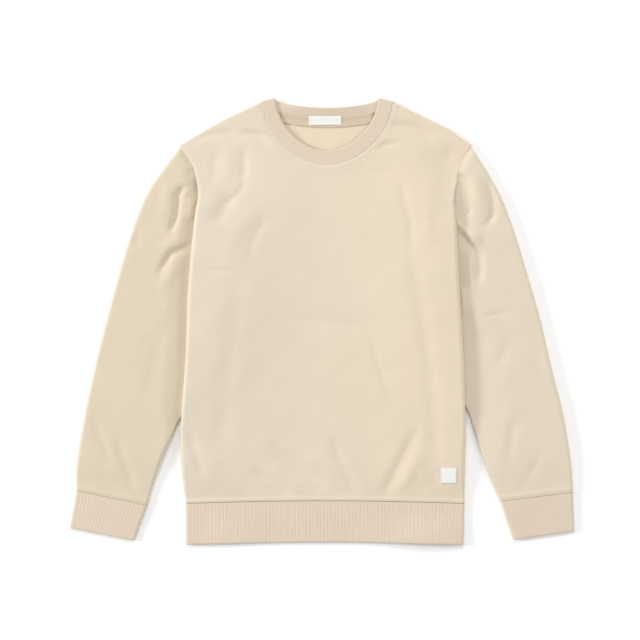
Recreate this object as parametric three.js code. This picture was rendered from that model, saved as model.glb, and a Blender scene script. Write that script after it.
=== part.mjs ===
// A crewneck sweatshirt laid flat on its back, neck towards +Y and front up, in millimetres.
// Each side of the body is tucked under, and the sleeves run down beneath the tucked sides.
// Left and right are as seen from above. The floor is z = 0, and the lay is centred on the origin.
import * as THREE from "three";

// Driving dimensions of the cloth.
const clothWall = 2.4; // brushed sweatshirt fleece
const ribWall = 3; // ribbing, sewn on double
const seamGap = 0.4; // between two pieces along a seam
const layGap = 0.3; // between two layers that lie on each other
const layHeight = 8.4; // top of the front over the back, in the middle of the body
const tuckRise = 6; // how much the tucked side lifts the front
const sleeveRise = 6; // how much a sleeve beneath lifts it again
const hiddenSleeve = 5.6; // a sleeve's height where the body lies on it
const sleeveHeight = 8.4; // a sleeve's height where it lies free
const seamHeight = 7; // height of the lay along the hem, cuff and shoulder seams

// Body outline: `up` is the place along Y, `left` and `right` are the body's edges there.
// The last three rows are the armhole seam, from the notch where the side folds under to the shoulder point.
const bodyEdges = [
  { up: -276, left: -207, right: 217 },
  { up: -215, left: -214, right: 217.5 },
  { up: -150, left: -213.5, right: 218 },
  { up: -55, left: -207, right: 215.5 },
  { up: 60, left: -202, right: 208.5 },
  { up: 160, left: -191.5, right: 204.5 },
  { up: 190, left: -185.5, right: 203.5 },
  { up: 235, left: -194.5, right: 210.5 },
  { up: 267, left: -215.5, right: 227.5 },
];
const notchUp = 190; // where the armhole seam meets the fold
const shoulderUp = 267;
const hemSeamUp = -276;
const hemSeamBow = 4; // the hem seam rises this much in the middle

// Stretches along Y, over which one way of lying passes into the next.
const stretches = {
  tuckStarts: { from: hemSeamUp, to: -232 }, // the tucked sides lift the front above the hem
  sleeveStarts: { from: -190, to: -120 }, // the sleeves come under the body
  tuckEnds: { from: 140, to: 235 }, // the body comes down to the armholes
  foldOpens: { from: 172, to: 214 }, // the folded side opens out to the armhole seam
  sleeveJoins: { from: 186, to: 226 }, // the sleeve comes up to the armhole seam
  shoulderDips: { from: 225, to: 300 },
  cuffDips: { from: -276, to: -222 },
  armholeOpens: { from: 0, to: 60 }, // the seam between the back and the sleeve has more room
};
const hemDip = 34; // the front comes down to the hem seam over this much
const tuckTop = 165; // the hidden layers of a tucked side end here

// Inner edge of the tucked layers under the front.
const tuckEdges = [
  { up: -276, left: -158, right: 180 },
  { up: -198, left: -147, right: 174 },
  { up: -89, left: -142, right: 161 },
  { up: 2, left: -124, right: 149 },
  { up: 112, left: -108, right: 128 },
  { up: 203, left: -100, right: 113 },
];

// Neckline, a superellipse about its own centre. Drops are from the shoulder neck points.
const neck = { x: 8, up: 333.5, halfWidth: 98.5, frontDrop: 101, backDrop: 24, power: 1.85 };
const neckFree = { x: 7.5, up: 339, halfWidth: 78.5, frontDrop: 83.5, backDrop: 14.5, power: 1.85 };
const shoulderLeft = [{ x: -175, up: 294 }, { x: -141, up: 312.5 }];
const shoulderRight = [{ x: 154, up: 312.5 }, { x: 192, up: 294 }];

// Sleeve outlines, from the shoulder point and the underarm point down to the cuff seam.
const sleeves = {
  left: {
    side: -1,
    outer: [[-215.5, 267], [-261, 203], [-285.5, 148], [-308, 75], [-328, 2], [-346, -71], [-361.5, -144],
      [-373, -217], [-373.5, -257]],
    inner: [[-117, 52], [-155, -36], [-205, -131.5], [-223, -162], [-252, -235], [-265.5, -279]],
    armhole: [[-215.5, 267], [-194.5, 235], [-185.5, 190], [-160, 120], [-117, 52]],
    cuffEnd: { outer: [-383.5, -314], inner: [-285.5, -333.5] },
  },
  right: {
    side: 1,
    outer: [[227.5, 267], [266.5, 203], [289, 148], [312, 75], [333, 2], [350, -71], [368, -144],
      [379.5, -217], [382, -259]],
    inner: [[132.5, 52], [169, -36], [220, -133], [230, -162], [255.5, -235], [272.5, -273]],
    armhole: [[227.5, 267], [210.5, 235], [203.5, 190], [178, 120], [132.5, 52]],
    cuffEnd: { outer: [384.5, -318.5], inner: [292, -332] },
  },
};

// Folds of the cloth, each a soft trough (rise below 0) or ridge along a straight stretch.
const bodyFolds = [
  { from: [-173, 272], to: [-124, 285], width: 11, rise: -1.2 },
  { from: [-110, 287], to: [-72, 272], width: 9, rise: -1.8 },
  { from: [-160, 258], to: [-160, 228], width: 12, rise: -1.6 },
  { from: [-110, 246], to: [-126, 203], width: 11, rise: -1.6 },
  { from: [-126, 203], to: [-166, 176], width: 12, rise: -1.8 },
  { from: [-140, 232], to: [-141, 214], width: 10, rise: 1.2 },
  { from: [-82, 196], to: [-124, 160], width: 13, rise: 1.2 },
  { from: [-96, 178], to: [-150, 140], width: 13, rise: -1.2 },
  { from: [78, 262], to: [118, 276], width: 10, rise: -1.6 },
  { from: [112, 300], to: [184, 272], width: 10, rise: -1.4 },
  { from: [172, 246], to: [186, 148], width: 14, rise: -1.2 },
  { from: [-76, 14], to: [70, -10], width: 9, rise: -0.6 },
  { from: [70, -10], to: [119, -138], width: 9, rise: -0.8 },
  { from: [140, -174], to: [93, -260], width: 10, rise: -2.6 },
  { from: [-52, -210], to: [-4, -238], width: 10, rise: -2.2 },
  { from: [-76, -234], to: [-46, -260], width: 9, rise: -1.8 },
  { from: [16, -198], to: [46, -260], width: 11, rise: -1.6 },
  { from: [-20, -216], to: [22, -262], width: 10, rise: 1.2 },
  { from: [70, -200], to: [66, -262], width: 12, rise: 1.2 },
  { from: [-199, -180], to: [-180, -236], width: 11, rise: -1.8 },
];
const sleeveFolds = {
  left: [
    { from: [-212, 203], to: [-234, 136], width: 11, rise: -2.8 },
    { from: [-204, 160], to: [-222, 124], width: 10, rise: 1.2 },
    { from: [-200, 112], to: [-254, 70], width: 12, rise: -2.6 },
    { from: [-212, 82], to: [-240, 40], width: 13, rise: 1 },
    { from: [-270, -22], to: [-240, -41], width: 9, rise: -1 },
    { from: [-343, -150], to: [-313, -217], width: 10, rise: -1.8 },
    { from: [-306, -156], to: [-282, -247], width: 9, rise: -1.8 },
    { from: [-336, -240], to: [-322, -250], width: 9, rise: -1.4 },
  ],
  right: [
    { from: [236, 228], to: [257, 192], width: 9, rise: -2.6 },
    { from: [257, 192], to: [255, 158], width: 9, rise: -2.8 },
    { from: [246, 204], to: [240, 176], width: 9, rise: 1.4 },
    { from: [212, 130], to: [236, 98], width: 10, rise: -2.8 },
    { from: [234, 2], to: [284, 6], width: 10, rise: -2.2 },
    { from: [240, 34], to: [280, 36], width: 13, rise: 1.2 },
    { from: [270, -46], to: [252, -84], width: 12, rise: -1.2 },
    { from: [320, -228], to: [306, -252], width: 9, rise: -1.8 },
    { from: [352, -200], to: [342, -240], width: 11, rise: -1.2 },
  ],
};

// Ribbing: the spacing of its ribs, how far they stand out, and its rows as shares of the way from seam to edge.
const ribs = { hem: 5.6, cuff: 5.2, neck: 5, rise: 0.6 };
const ribRows = [0, 0.06, 0.86, 1];
const hemRib = { bottomUp: -339.5, leftBottom: -206.5, rightBottom: 215.5 };
const neckTape = { width: 13.5, wall: 0.8, halfWidth: 64, below: 1.4 };
const neckLabel = { x: 5, width: 50, height: 13.8, wall: 0.5, below: -1.2, lift: 0.6 };
const hemPatch = { x: 192.3, up: -233.5, side: 24, wall: 0.6, lift: 0.6 };

const colours = { fleece: 0xe8dbc4, rib: 0xe1d1bb, label: 0xf8f7f2 };

const clamp = (v, low = 0, high = 1) => Math.min(high, Math.max(low, v));
const mix = (a, b, t) => a + (b - a) * t;
const smooth = (t) => clamp(t) ** 2 * (3 - 2 * clamp(t));
const rising = (v, start, end) => smooth((v - start) / (end - start));
const within = (up, stretch) => rising(up, stretch.from, stretch.to);
const steps = (count) => Array.from({ length: count + 1 }, (_, i) => i / count);

// A smooth curve through plan points, as a function of the share of its length.
function curveThrough(points) {
  const curve = new THREE.SplineCurve(points.map(([x, up]) => new THREE.Vector2(x, up)));
  return (t) => curve.getPointAt(clamp(t));
}

// A column of a table as a function of `up`, smooth between its rows.
function columnOf(table, column) {
  const curve = new THREE.SplineCurve(table.map((row) => new THREE.Vector2(row.up, row[column])));
  const samples = curve.getPoints(160);
  return (up) => {
    const next = samples.findIndex((p) => p.x > up);
    if (next === 0) return samples[0].y;
    if (next < 0) return samples.at(-1).y;
    const [a, b] = [samples[next - 1], samples[next]];
    return mix(a.y, b.y, (up - a.x) / (b.x - a.x));
  };
}

const edgeX = { left: columnOf(bodyEdges, "left"), right: columnOf(bodyEdges, "right") };
const tuckX = { left: columnOf(tuckEdges, "left"), right: columnOf(tuckEdges, "right") };

// A column through the plan points of a line that runs up the body.
const lineX = (points) => columnOf(points.map(([x, up]) => ({ up, x })).sort((a, b) => a.up - b.up), "x");

// Edge of the hidden part of a sleeve: its inner edge up to the underarm, then the armhole seam up to the notch.
const hiddenX = Object.fromEntries(Object.entries(sleeves).map(([name, sleeve]) =>
  [name, lineX([...sleeve.inner.slice(0, 5), ...sleeve.armhole.slice(2, 4)])]));

// Seam between the back and what it is sewn to: the side seam up to the underarm, then the armhole seam.
const seamX = Object.fromEntries(Object.entries(sleeves).map(([name, sleeve]) =>
  [name, lineX([...tuckEdges.slice(0, 4).map((row) => [row[name], row.up]), ...sleeve.armhole])]));

// The plan point at shares u and v of a patch between four boundary curves.
function patchPoint({ bottom, top, start, end }, u, v) {
  const [b, t, s, e] = [bottom(u), top(u), start(v), end(v)];
  const corner = bottom(0).multiplyScalar((1 - u) * (1 - v))
    .addScaledVector(bottom(1), u * (1 - v))
    .addScaledVector(top(0), (1 - u) * v)
    .addScaledVector(top(1), u * v);
  return new THREE.Vector2()
    .addScaledVector(b, 1 - v).addScaledVector(t, v)
    .addScaledVector(s, 1 - u).addScaledVector(e, u)
    .sub(corner);
}

// Height that the folds of one table add at a plan point.
function foldHeight(folds, p) {
  return folds.reduce((sum, { from, to, width, rise }) => {
    const start = new THREE.Vector2(...from);
    const line = new THREE.Vector2(...to).sub(start);
    const away = p.clone().sub(start);
    const share = clamp(away.dot(line) / line.lengthSq());
    const distance = away.addScaledVector(line, -share).length();
    return sum + rise * Math.exp(-((distance / width) ** 2));
  }, 0);
}

// Point of a neckline curve. Turn 0 is the right fold, a half turn the left one, the front between them.
function neckPoint(line, turn, grow = 0) {
  const [c, s] = [Math.cos(turn * 2 * Math.PI), Math.sin(turn * 2 * Math.PI)];
  const drop = (turn % 1 < 0.5 ? line.frontDrop : line.backDrop) + grow;
  const foldRound = 0.05; // rounds the fold where the front turns into the back
  const fall = Math.sqrt(Math.abs(s) ** (4 / line.power) + foldRound ** 2) - foldRound;
  const x = line.x + Math.sign(c) * Math.abs(c) ** (2 / line.power) * (line.halfWidth + grow);
  return new THREE.Vector2(x, line.up - fall * drop);
}

// Top of the front panel at a plan point: the lay, lifted by the tucked sides and the sleeves beneath.
function frontTop(p) {
  const beforeArmhole = 1 - within(p.y, stretches.tuckEnds);
  const tucked = tuckRise * within(p.y, stretches.tuckStarts) * beforeArmhole;
  const lifted = sleeveRise * within(p.y, stretches.sleeveStarts) * beforeArmhole;
  const offTuck = { inward: 14, outward: 26 }; // the front comes down off the tucked layers
  const overTuck = rising(p.x, tuckX.left(p.y) + offTuck.inward, tuckX.left(p.y) - offTuck.outward) +
    rising(p.x, tuckX.right(p.y) - offTuck.inward, tuckX.right(p.y) + offTuck.outward);
  const offSleeve = { inward: 48, outward: 8 }; // and off a hidden sleeve
  const overSleeve = rising(p.x, hiddenX.left(p.y) + offSleeve.inward, hiddenX.left(p.y) + offSleeve.outward) +
    rising(p.x, hiddenX.right(p.y) - offSleeve.inward, hiddenX.right(p.y) - offSleeve.outward);
  const nearHem = (layHeight - seamHeight) * (1 - rising(p.y, hemSeamUp, hemSeamUp + hemDip));
  const nearShoulder = (layHeight - seamHeight) * within(p.y, stretches.shoulderDips);
  return layHeight + tucked * overTuck + lifted * overSleeve - nearHem - nearShoulder +
    foldHeight(bodyFolds, p);
}

// Height of the body's underside at a plan point: on the floor, or on the sleeve tucked beneath it.
function bodyUnder(x, up) {
  const over = x < neck.x ? hiddenX.left(up) - x : x - hiddenX.right(up);
  const climb = { from: -30, to: -9 }; // the folded side climbs onto the sleeve just before its edge
  return (hiddenSleeve + 2 * layGap) * within(over, climb);
}

// Geometry of a closed mesh, with its faces turned to point out.
function solidFrom(points, faces) {
  const volume = faces.reduce((sum, [a, b, c]) =>
    sum + points[a].dot(new THREE.Vector3().crossVectors(points[b], points[c])), 0);
  const turned = volume < 0 ? faces.map(([a, b, c]) => [a, c, b]) : faces;
  const geometry = new THREE.BufferGeometry();
  geometry.setAttribute("position",
    new THREE.Float32BufferAttribute(points.flatMap((p) => p.toArray()), 3));
  geometry.setIndex(turned.flat());
  geometry.computeVertexNormals();
  return geometry;
}

// A closed solid between two skins of rows of points. Inner column j stands under outer column match[j].
// `closed` joins the last column to the first.
function wallSolid(outer, inner, match = outer[0].map((_, k) => k), closed = false) {
  const points = [];
  const numbered = (rows) => rows.map((row) => row.map((p) => points.push(p) - 1));
  const [out, inn] = [numbered(outer), numbered(inner)];
  const faces = [];
  const skin = (rows, turned) => rows.slice(1).forEach((row, r) => {
    const last = rows[r];
    for (let k = 0; k < row.length - (closed ? 0 : 1); k++) {
      const m = (k + 1) % row.length;
      if (turned) faces.push([last[k], row[k], row[m]], [last[k], row[m], last[m]]);
      else faces.push([last[k], last[m], row[m]], [last[k], row[m], row[k]]);
    }
  });
  const rim = (o, i, pairs, turned, wraps) => {
    const tri = (a, b, c) => faces.push(turned ? [a, c, b] : [a, b, c]);
    for (let j = 0; j < i.length - (wraps ? 0 : 1); j++) {
      const ends = [pairs[j], j + 1 < i.length ? pairs[j + 1] : o.length + pairs[0]];
      for (let k = ends[0]; k < ends[1]; k++) tri(i[j], o[k % o.length], o[(k + 1) % o.length]);
      tri(i[j], o[ends[1] % o.length], i[(j + 1) % i.length]);
    }
  };
  skin(out, false);
  skin(inn, true);
  rim(out[0], inn[0], match, true, closed);
  rim(out.at(-1), inn.at(-1), match, false, closed);
  if (!closed) {
    const rows = out.map((_, r) => r);
    rim(out.map((row) => row[0]), inn.map((row) => row[0]), rows, false, false);
    rim(out.map((row) => row.at(-1)), inn.map((row) => row.at(-1)), rows, true, false);
  }
  return solidFrom(points, faces);
}

// Plan normal of a boundary curve at share t, on the side given by `turn`.
function sideways(curve, t, turn) {
  const step = 0.01;
  const along = curve(t + step).sub(curve(t - step)).normalize();
  return new THREE.Vector2(along.y * turn, -along.x * turn);
}

// Reach and drop of the stations that carry a panel over its edge: a roll through `angle`, then a straight end.
function overEdge({ radius, angle, end }, inset, count) {
  const r = radius - inset;
  const roll = steps(count.roll).slice(1).map((t) => ({
    reach: r * Math.sin(angle * t),
    drop: r * (1 - Math.cos(angle * t)),
    under: 0,
  }));
  const last = roll.at(-1);
  const straight = steps(count.end).slice(1).map((t) => ({
    reach: last.reach + end * t * Math.cos(angle),
    drop: last.drop + end * t * Math.sin(angle),
    under: 1,
  }));
  return [...roll, ...straight];
}

const degrees = Math.PI / 180;
const sideSteps = { roll: 5, end: 5 };
const topSteps = { roll: 3, end: 1 };
const topRoll = { radius: 3.5, shoulderAngle: 78, neckAngle: 30, end: 1 };
const armholeAngle = 48;
const topInset = 4; // the front's top boundary stays this far below the shoulder and neck points

// How the front turns over its side edge: folded under to the side seam, or dipping at the armhole seam.
function sideFold(name, up, top) {
  const folded = 1 - within(up, stretches.foldOpens);
  const x = edgeX[name](up);
  const tightest = clothWall + 0.5;
  const radius = Math.max((top - bodyUnder(x, up)) / 2, tightest);
  const toSeam = Math.abs(seamX[name](up) - x) - radius - seamGap / 2;
  const end = mix(1, Math.max(toSeam, 1), folded);
  return { radius, angle: mix(armholeAngle, 180, folded) * degrees, end, folded };
}

// The way a side edge turns, straight across the body where it folds under.
function edgeWay(name, curve, v, folded) {
  const turn = name === "left" ? -1 : 1;
  return sideways(curve, v, turn).lerp(new THREE.Vector2(turn, 0), folded).normalize();
}

// How the front turns over its top edge: down to the back at the shoulders, dipping at the neckline.
function topFold(u) {
  const atNeck = rising(u, 0.21, 0.26) * (1 - rising(u, 0.74, 0.79));
  return { radius: topRoll.radius, angle: mix(topRoll.shoulderAngle, topRoll.neckAngle, atNeck) * degrees,
    end: topRoll.end };
}

// A polyline through plan points as a function of the share of its length.
function polyline(points) {
  const chords = points.slice(1).map((p, k) => p.distanceTo(points[k]));
  const length = chords.reduce((a, b) => a + b);
  return (share) => {
    let rest = clamp(share) * length;
    let k = 0;
    while (k < chords.length - 1 && rest > chords[k]) rest -= chords[k++];
    return points[k].clone().lerp(points[k + 1], clamp(rest / chords[k]));
  };
}

// How far the hem bows up at a place across it.
function hemBow(x) {
  const { left, right } = bodyEdges[0];
  return hemSeamBow * Math.sin(Math.PI * clamp((x - left) / (right - left)));
}

// A line across the hem between two corners.
const hemLine = (left, right) => (u) => {
  const p = left.clone().lerp(right, u);
  p.y += hemBow(p.x);
  return p;
};

// The front's boundary, drawn in from the outline by what its turned edges reach past it.
function frontBoundary() {
  const edge = (name) => {
    const outline = curveThrough(bodyEdges.map((row) => [row[name], row.up]));
    return (v) => {
      const p = outline(v);
      const fold = sideFold(name, p.y, frontTop(p));
      const gap = 3 * seamGap * rising(p.y, notchUp - 10, notchUp + 20);
      const reach = fold.radius * Math.sin(Math.min(fold.angle, Math.PI / 2)) + gap;
      return p.addScaledVector(edgeWay(name, outline, v, fold.folded), -reach);
    };
  };
  const start = edge("left");
  const end = edge("right");
  const neckArc = steps(24).map((t) => neckPoint(neck, 0.5 - 0.5 * t, topRoll.radius + seamGap));
  neckArc[0].y -= topInset;
  neckArc.at(-1).y -= topInset;
  const inward = (points, aside) => points.map(({ x, up }) => new THREE.Vector2(x + aside, up - topInset));
  const top = polyline([start(1), ...inward(shoulderLeft, 1.5), ...neckArc, ...inward(shoulderRight, -1.5),
    end(1)]);
  return { bottom: hemLine(start(0), end(0)), top, start, end };
}

// One skin of the front panel, set in from its outer face by `inset`.
function frontSkin(boundary, inset) {
  const [us, vs] = [steps(28), steps(24)];
  const place = (u, v, out, over) => {
    const p = patchPoint(boundary, u, v);
    const top = frontTop(p);
    const name = u < 0.5 ? "left" : "right";
    let z = top - inset;
    if (out) {
      const up = p.y;
      const fold = sideFold(name, up, top);
      const station = overEdge(fold, inset, sideSteps)[out - 1];
      p.addScaledVector(edgeWay(name, u < 0.5 ? boundary.start : boundary.end, v, fold.folded), station.reach);
      const lower = bodyUnder(p.x, up) - bodyUnder(edgeX[name](up), up);
      p.y += (hemBow(p.x) - hemBow(boundary.bottom(u).x)) * (1 - rising(v, 0, 0.12));
      z += station.under * fold.folded * lower - station.drop;
    }
    if (over) {
      const station = overEdge(topFold(u), inset, topSteps)[over - 1];
      p.addScaledVector(sideways(boundary.top, u, -1), station.reach);
      z -= station.drop;
    }
    return new THREE.Vector3(p.x, p.y, Math.max(z, inset));
  };
  const beyond = steps(sideSteps.roll + sideSteps.end).slice(1).map((_, k) => k + 1);
  const row = (v, over) => [
    ...beyond.slice().reverse().map((k) => place(0, v, k, over)),
    ...us.map((u) => place(u, v, 0, over)),
    ...beyond.map((k) => place(1, v, k, over)),
  ];
  const past = steps(topSteps.roll + topSteps.end).slice(1).map((_, k) => k + 1);
  return [...vs.map((v) => row(v, 0)), ...past.map((k) => row(1, k))];
}

// Height of a skin's topmost face over a plan point, from its own triangles.
function heightOn(rows, x, y) {
  let best = -Infinity;
  const test = (a, b, c) => {
    const area = (b.x - a.x) * (c.y - a.y) - (c.x - a.x) * (b.y - a.y);
    const s = ((x - a.x) * (c.y - a.y) - (c.x - a.x) * (y - a.y)) / area;
    const t = ((b.x - a.x) * (y - a.y) - (x - a.x) * (b.y - a.y)) / area;
    if (s >= 0 && t >= 0 && s + t <= 1) best = Math.max(best, a.z + s * (b.z - a.z) + t * (c.z - a.z));
  };
  rows.slice(1).forEach((row, r) => row.slice(1).forEach((_, k) => {
    const [a, b, c, d] = [rows[r][k], rows[r][k + 1], row[k + 1], row[k]];
    test(a, b, c);
    test(a, c, d);
  }));
  return best;
}

// Stations round a flattened tube: across its top, round the end edge, back beneath, round the start edge.
function tubeStations({ across, beneath, round }) {
  const roll = steps(round).slice(1, -1);
  return [
    ...steps(across).map((u) => ({ u, turn: 0 })),
    ...roll.map((t) => ({ u: 1, turn: Math.PI * t })),
    ...steps(beneath).map((t) => ({ u: 1 - t, turn: Math.PI })),
    ...roll.map((t) => ({ u: 0, turn: Math.PI * (1 + t) })),
  ];
}

// One skin of a flattened tube whose outline in plan is a patch, set in by `inset` from its outer face.
function tubeSkin(patch, topAt, stations, rows, inset, rib = () => 0) {
  return rows.map((v) => {
    const [left, right] = [patchPoint(patch, 0, v), patchPoint(patch, 1, v)];
    const width = left.distanceTo(right);
    const draw = [topAt(left) / 2 / width, topAt(right) / 2 / width];
    return stations.map(({ u, turn }) => {
      const share = mix(draw[0], 1 - draw[1], u);
      const p = patchPoint(patch, share, v);
      const half = topAt(p) / 2;
      const along = patchPoint(patch, share + 0.01, v).sub(patchPoint(patch, share - 0.01, v)).normalize();
      p.addScaledVector(along, (half - inset) * Math.sin(turn));
      const raised = turn === 0 && inset === 0 ? rib(u, v) : 0;
      return new THREE.Vector3(p.x, p.y, half + (half - inset) * Math.cos(turn) + raised);
    });
  });
}

function tubeSolid(patch, topAt, counts, wall) {
  const stations = tubeStations(counts);
  const rows = steps(counts.rows);
  return wallSolid(tubeSkin(patch, topAt, stations, rows, 0), tubeSkin(patch, topAt, stations, rows, wall),
    undefined, true);
}

// A flattened tube of ribbing: ribs stand out on its top, over a plain inside.
function ribbedTube(patch, height, ribCount) {
  const stations = tubeStations({ across: ribCount * 2, beneath: 6, round: 4 });
  const kept = stations.map((s, k) => k).filter((k) => k > ribCount * 2 || k % 8 === 0 || k === ribCount * 2);
  const [, seamEnd, edgeStart] = ribRows;
  const rounded = (v) => 0.5 * rising(v, edgeStart, 1) + 0.5 * (1 - rising(v, 0, seamEnd));
  const outer = tubeSkin(patch, () => height, stations, ribRows, 0,
    (u, v) => (Math.round(u * ribCount * 2) % 2 ? ribs.rise : 0) * (1 - rounded(v)));
  const inner = tubeSkin(patch, () => height, kept.map((k) => stations[k]), ribRows, ribWall);
  return wallSolid(outer, inner, kept, true);
}

// Top of a sleeve at a plan point: low beneath the body's edge, dipping at the armhole seam.
function sleeveTop(name, p) {
  const { side } = sleeves[name];
  const outward = side * (p.x - edgeX[name](Math.min(p.y, shoulderUp)));
  const beside = mix(hiddenSleeve, sleeveHeight, rising(outward, 3, 30));
  const seamDip = 1.6 * (1 - rising(outward, 0, 10));
  const joined = within(p.y, stretches.sleeveJoins);
  const nearCuff = (sleeveHeight - seamHeight) * (1 - within(p.y, stretches.cuffDips));
  const folds = foldHeight(sleeveFolds[name], p) * rising(outward, 2, 16);
  const lowest = 2 * clothWall + 0.4;
  return Math.max(mix(beside, sleeveHeight - seamDip, joined) - nearCuff + folds, lowest);
}

function sleevePatch({ outer, inner, armhole }) {
  return {
    start: curveThrough(outer),
    end: curveThrough(inner),
    bottom: curveThrough(armhole),
    top: polyline([new THREE.Vector2(...outer.at(-1)), new THREE.Vector2(...inner.at(-1))]),
  };
}

function cuffPatch({ outer, inner, cuffEnd }) {
  const [a, b] = [new THREE.Vector2(...outer.at(-1)), new THREE.Vector2(...inner.at(-1))];
  const [c, d] = [new THREE.Vector2(...cuffEnd.outer), new THREE.Vector2(...cuffEnd.inner)];
  const away = c.clone().sub(a).normalize().multiplyScalar(seamGap);
  const [from, to] = [a.add(away), b.add(away)];
  return { start: polyline([from, c]), end: polyline([to, d]), bottom: polyline([from, to]), top: polyline([c, d]) };
}

function hemPatchLines() {
  const a = new THREE.Vector2(bodyEdges[0].left, hemSeamUp - seamGap);
  const b = new THREE.Vector2(bodyEdges[0].right, hemSeamUp - seamGap);
  const c = new THREE.Vector2(hemRib.leftBottom, hemRib.bottomUp);
  const d = new THREE.Vector2(hemRib.rightBottom, hemRib.bottomUp);
  return { start: polyline([a, c]), end: polyline([b, d]), bottom: hemLine(a, b), top: hemLine(c, d) };
}

// The back, flat on the floor between the side seams, the armholes, the shoulders and the neckline.
function backPanel() {
  const line = (name, turn) => steps(30).map((t) => {
    const up = mix(hemSeamUp, shoulderUp, t);
    const sewn = mix(seamGap, 5 * seamGap, within(up, stretches.armholeOpens));
    return new THREE.Vector2(seamX[name](up) - turn * sewn, up);
  });
  const left = line("left", -1);
  const right = line("right", 1);
  const hem = steps(12).map((t) => hemLine(left[0], right[0])(1 - t));
  const neckArc = steps(20).map((t) => neckPoint(neck, 0.5 + 0.5 * t, 1.3 * seamGap));
  const drawnIn = 0.6; // the back's top edge lies this far below the front's
  neckArc.forEach((p) => { p.y -= drawnIn; });
  const shoulder = (points) => points.map(({ x, up }) => new THREE.Vector2(x, up - drawnIn));
  const outline = [...left.slice(1), ...shoulder(shoulderLeft), ...neckArc, ...shoulder(shoulderRight),
    ...right.slice(1).reverse(), ...hem];
  return new THREE.ExtrudeGeometry(new THREE.Shape(outline), { depth: clothWall, bevelEnabled: false });
}

// The collar: from its seam on the neckline to its free edge, turning over at the two folds.
const collar = {
  front: { seam: 6, free: 6 }, // height of the middle of the ribbing
  back: { seam: 2.3, free: 6 },
  roll: 0.014, // share of a turn on either side of the fold
  backRise: { from: 0.45, to: 0.95 }, // the back's free edge rises once it is clear of the front
};

function collarPoint(turn, s) {
  const round = ((turn % 1) + 1) % 1;
  const { roll, front, back } = collar;
  const toBack = rising(round, 0.5 - roll / 2, 0.5 + roll) * (1 - rising(round, 1 - roll, 1 + roll / 2)) +
    (1 - rising(round, -roll, roll / 2)) * (round < 0.25 ? 1 : 0);
  const p = neckPoint(neck, round).lerp(neckPoint(neckFree, round), s);
  const backFree = mix(back.seam, back.free, within(Math.sin(-2 * Math.PI * round), collar.backRise));
  const z = mix(mix(front.seam, front.free, s), mix(back.seam, backFree, s), toBack);
  return new THREE.Vector3(p.x, p.y, z);
}

function collarNormal(turn, s) {
  const step = 0.002;
  const along = collarPoint(turn + step, s).sub(collarPoint(turn - step, s));
  const across = collarPoint(turn, 1).sub(collarPoint(turn, 0));
  return across.cross(along).normalize();
}

function neckRib() {
  const fine = steps(720).map((t) => ({ turn: t, p: collarPoint(t, 0.5) }));
  const lengths = [0];
  fine.slice(1).forEach(({ p }, k) => lengths.push(lengths[k] + p.distanceTo(fine[k].p)));
  const ribCount = Math.round(lengths.at(-1) / ribs.neck);
  const turns = steps(ribCount * 2).slice(0, -1).map((t) => {
    const k = Math.max(1, lengths.findIndex((length) => length >= t * lengths.at(-1)));
    const share = (t * lengths.at(-1) - lengths[k - 1]) / (lengths[k] - lengths[k - 1]);
    return mix(fine[k - 1].turn, fine[k].turn, share);
  });
  const widths = [0, 0.5, 1];
  const skin = (list, sideOf) => widths.map((s) => list.map(({ turn, raised }) =>
    collarPoint(turn, s).addScaledVector(collarNormal(turn, s), sideOf * ribWall / 2 + raised * (s === 0.5 ? 1 : 0.4))));
  const outer = turns.map((turn, k) => ({ turn, raised: k % 2 ? ribs.rise : 0 }));
  const kept = turns.map((_, k) => k).filter((k) => k % 2 === 0);
  const inner = kept.map((k) => ({ turn: turns[k], raised: 0 }));
  return wallSolid(skin(outer, 1), skin(inner, -1), kept, true);
}

// Hidden layers of a tucked side: one rounded solid on the front's folded return, made from its points.
function sideTuck(name, skins) {
  const { side } = sleeves[name];
  const { roll, end } = sideSteps;
  const clear = 1.8 * layGap;
  const ends = [0.25, 0.8]; // the solid thins towards its first and last row
  const inside = skins.inner.filter((row) => row[0].y < tuckTop);
  const rows = inside.map((row, r) => {
    const line = side < 0 ? row.slice(0, roll + end + 1) : row.slice(-(roll + end) - 1).reverse();
    const strip = line.slice(0, end + 1); // from the seam out to where the fold begins
    const fold = strip.at(-1);
    const crown = line.at(-1);
    const up = fold.y;
    const ending = ends[r] ?? ends[inside.length - 1 - r] ?? 1;
    const pastSleeve = 36 * rising(up, -90, 30); // the layers reach in past the hidden sleeve higher up
    const filled = side > 0
      ? Math.min(tuckX[name](up) - 2, hiddenX[name](up) - pastSleeve)
      : Math.max(tuckX[name](up) + 2, hiddenX[name](up) + pastSleeve);
    const reach = Math.max(side * (strip[0].x - filled), 6);
    const rounding = [{ t: 1, share: 0.3 }, { t: 0.7, share: 0.85 }, { t: 0.35, share: 1 }];
    const beyond = rounding.map(({ t, share }) =>
      ({ x: strip[0].x - side * reach * t, y: strip[0].y, low: clothWall + clear, share }));
    const over = strip.map((p) => ({ x: p.x, y: p.y, low: p.z + clear, share: 1 }));
    const radius = Math.max((crown.z - fold.z) / 2 - clear - 0.6, 0.6);
    const bulge = [55, 82].map((a) => ({
      x: fold.x + side * radius * Math.sin(a * degrees), y: fold.y, low: fold.z + clear, share: Math.cos(a * degrees),
    }));
    const stations = [...beyond, ...over, ...bulge];
    if (side > 0) stations.reverse(); // in the order of the front's own columns
    return stations.map(({ x, y, low, share }) => {
      const above = heightOn(skins.inner, x, y);
      const roof = (Number.isFinite(above) ? above : crown.z) - 2.8 * clear;
      const middle = (roof + low) / 2;
      const half = Math.max((roof - low) / 2 * share * ending, 0.3);
      return [new THREE.Vector3(x, y, middle + half), new THREE.Vector3(x, y, middle - half)];
    });
  });
  return wallSolid(rows.map((row) => row.map(([p]) => p)), rows.map((row) => row.map(([, p]) => p)));
}

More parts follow.
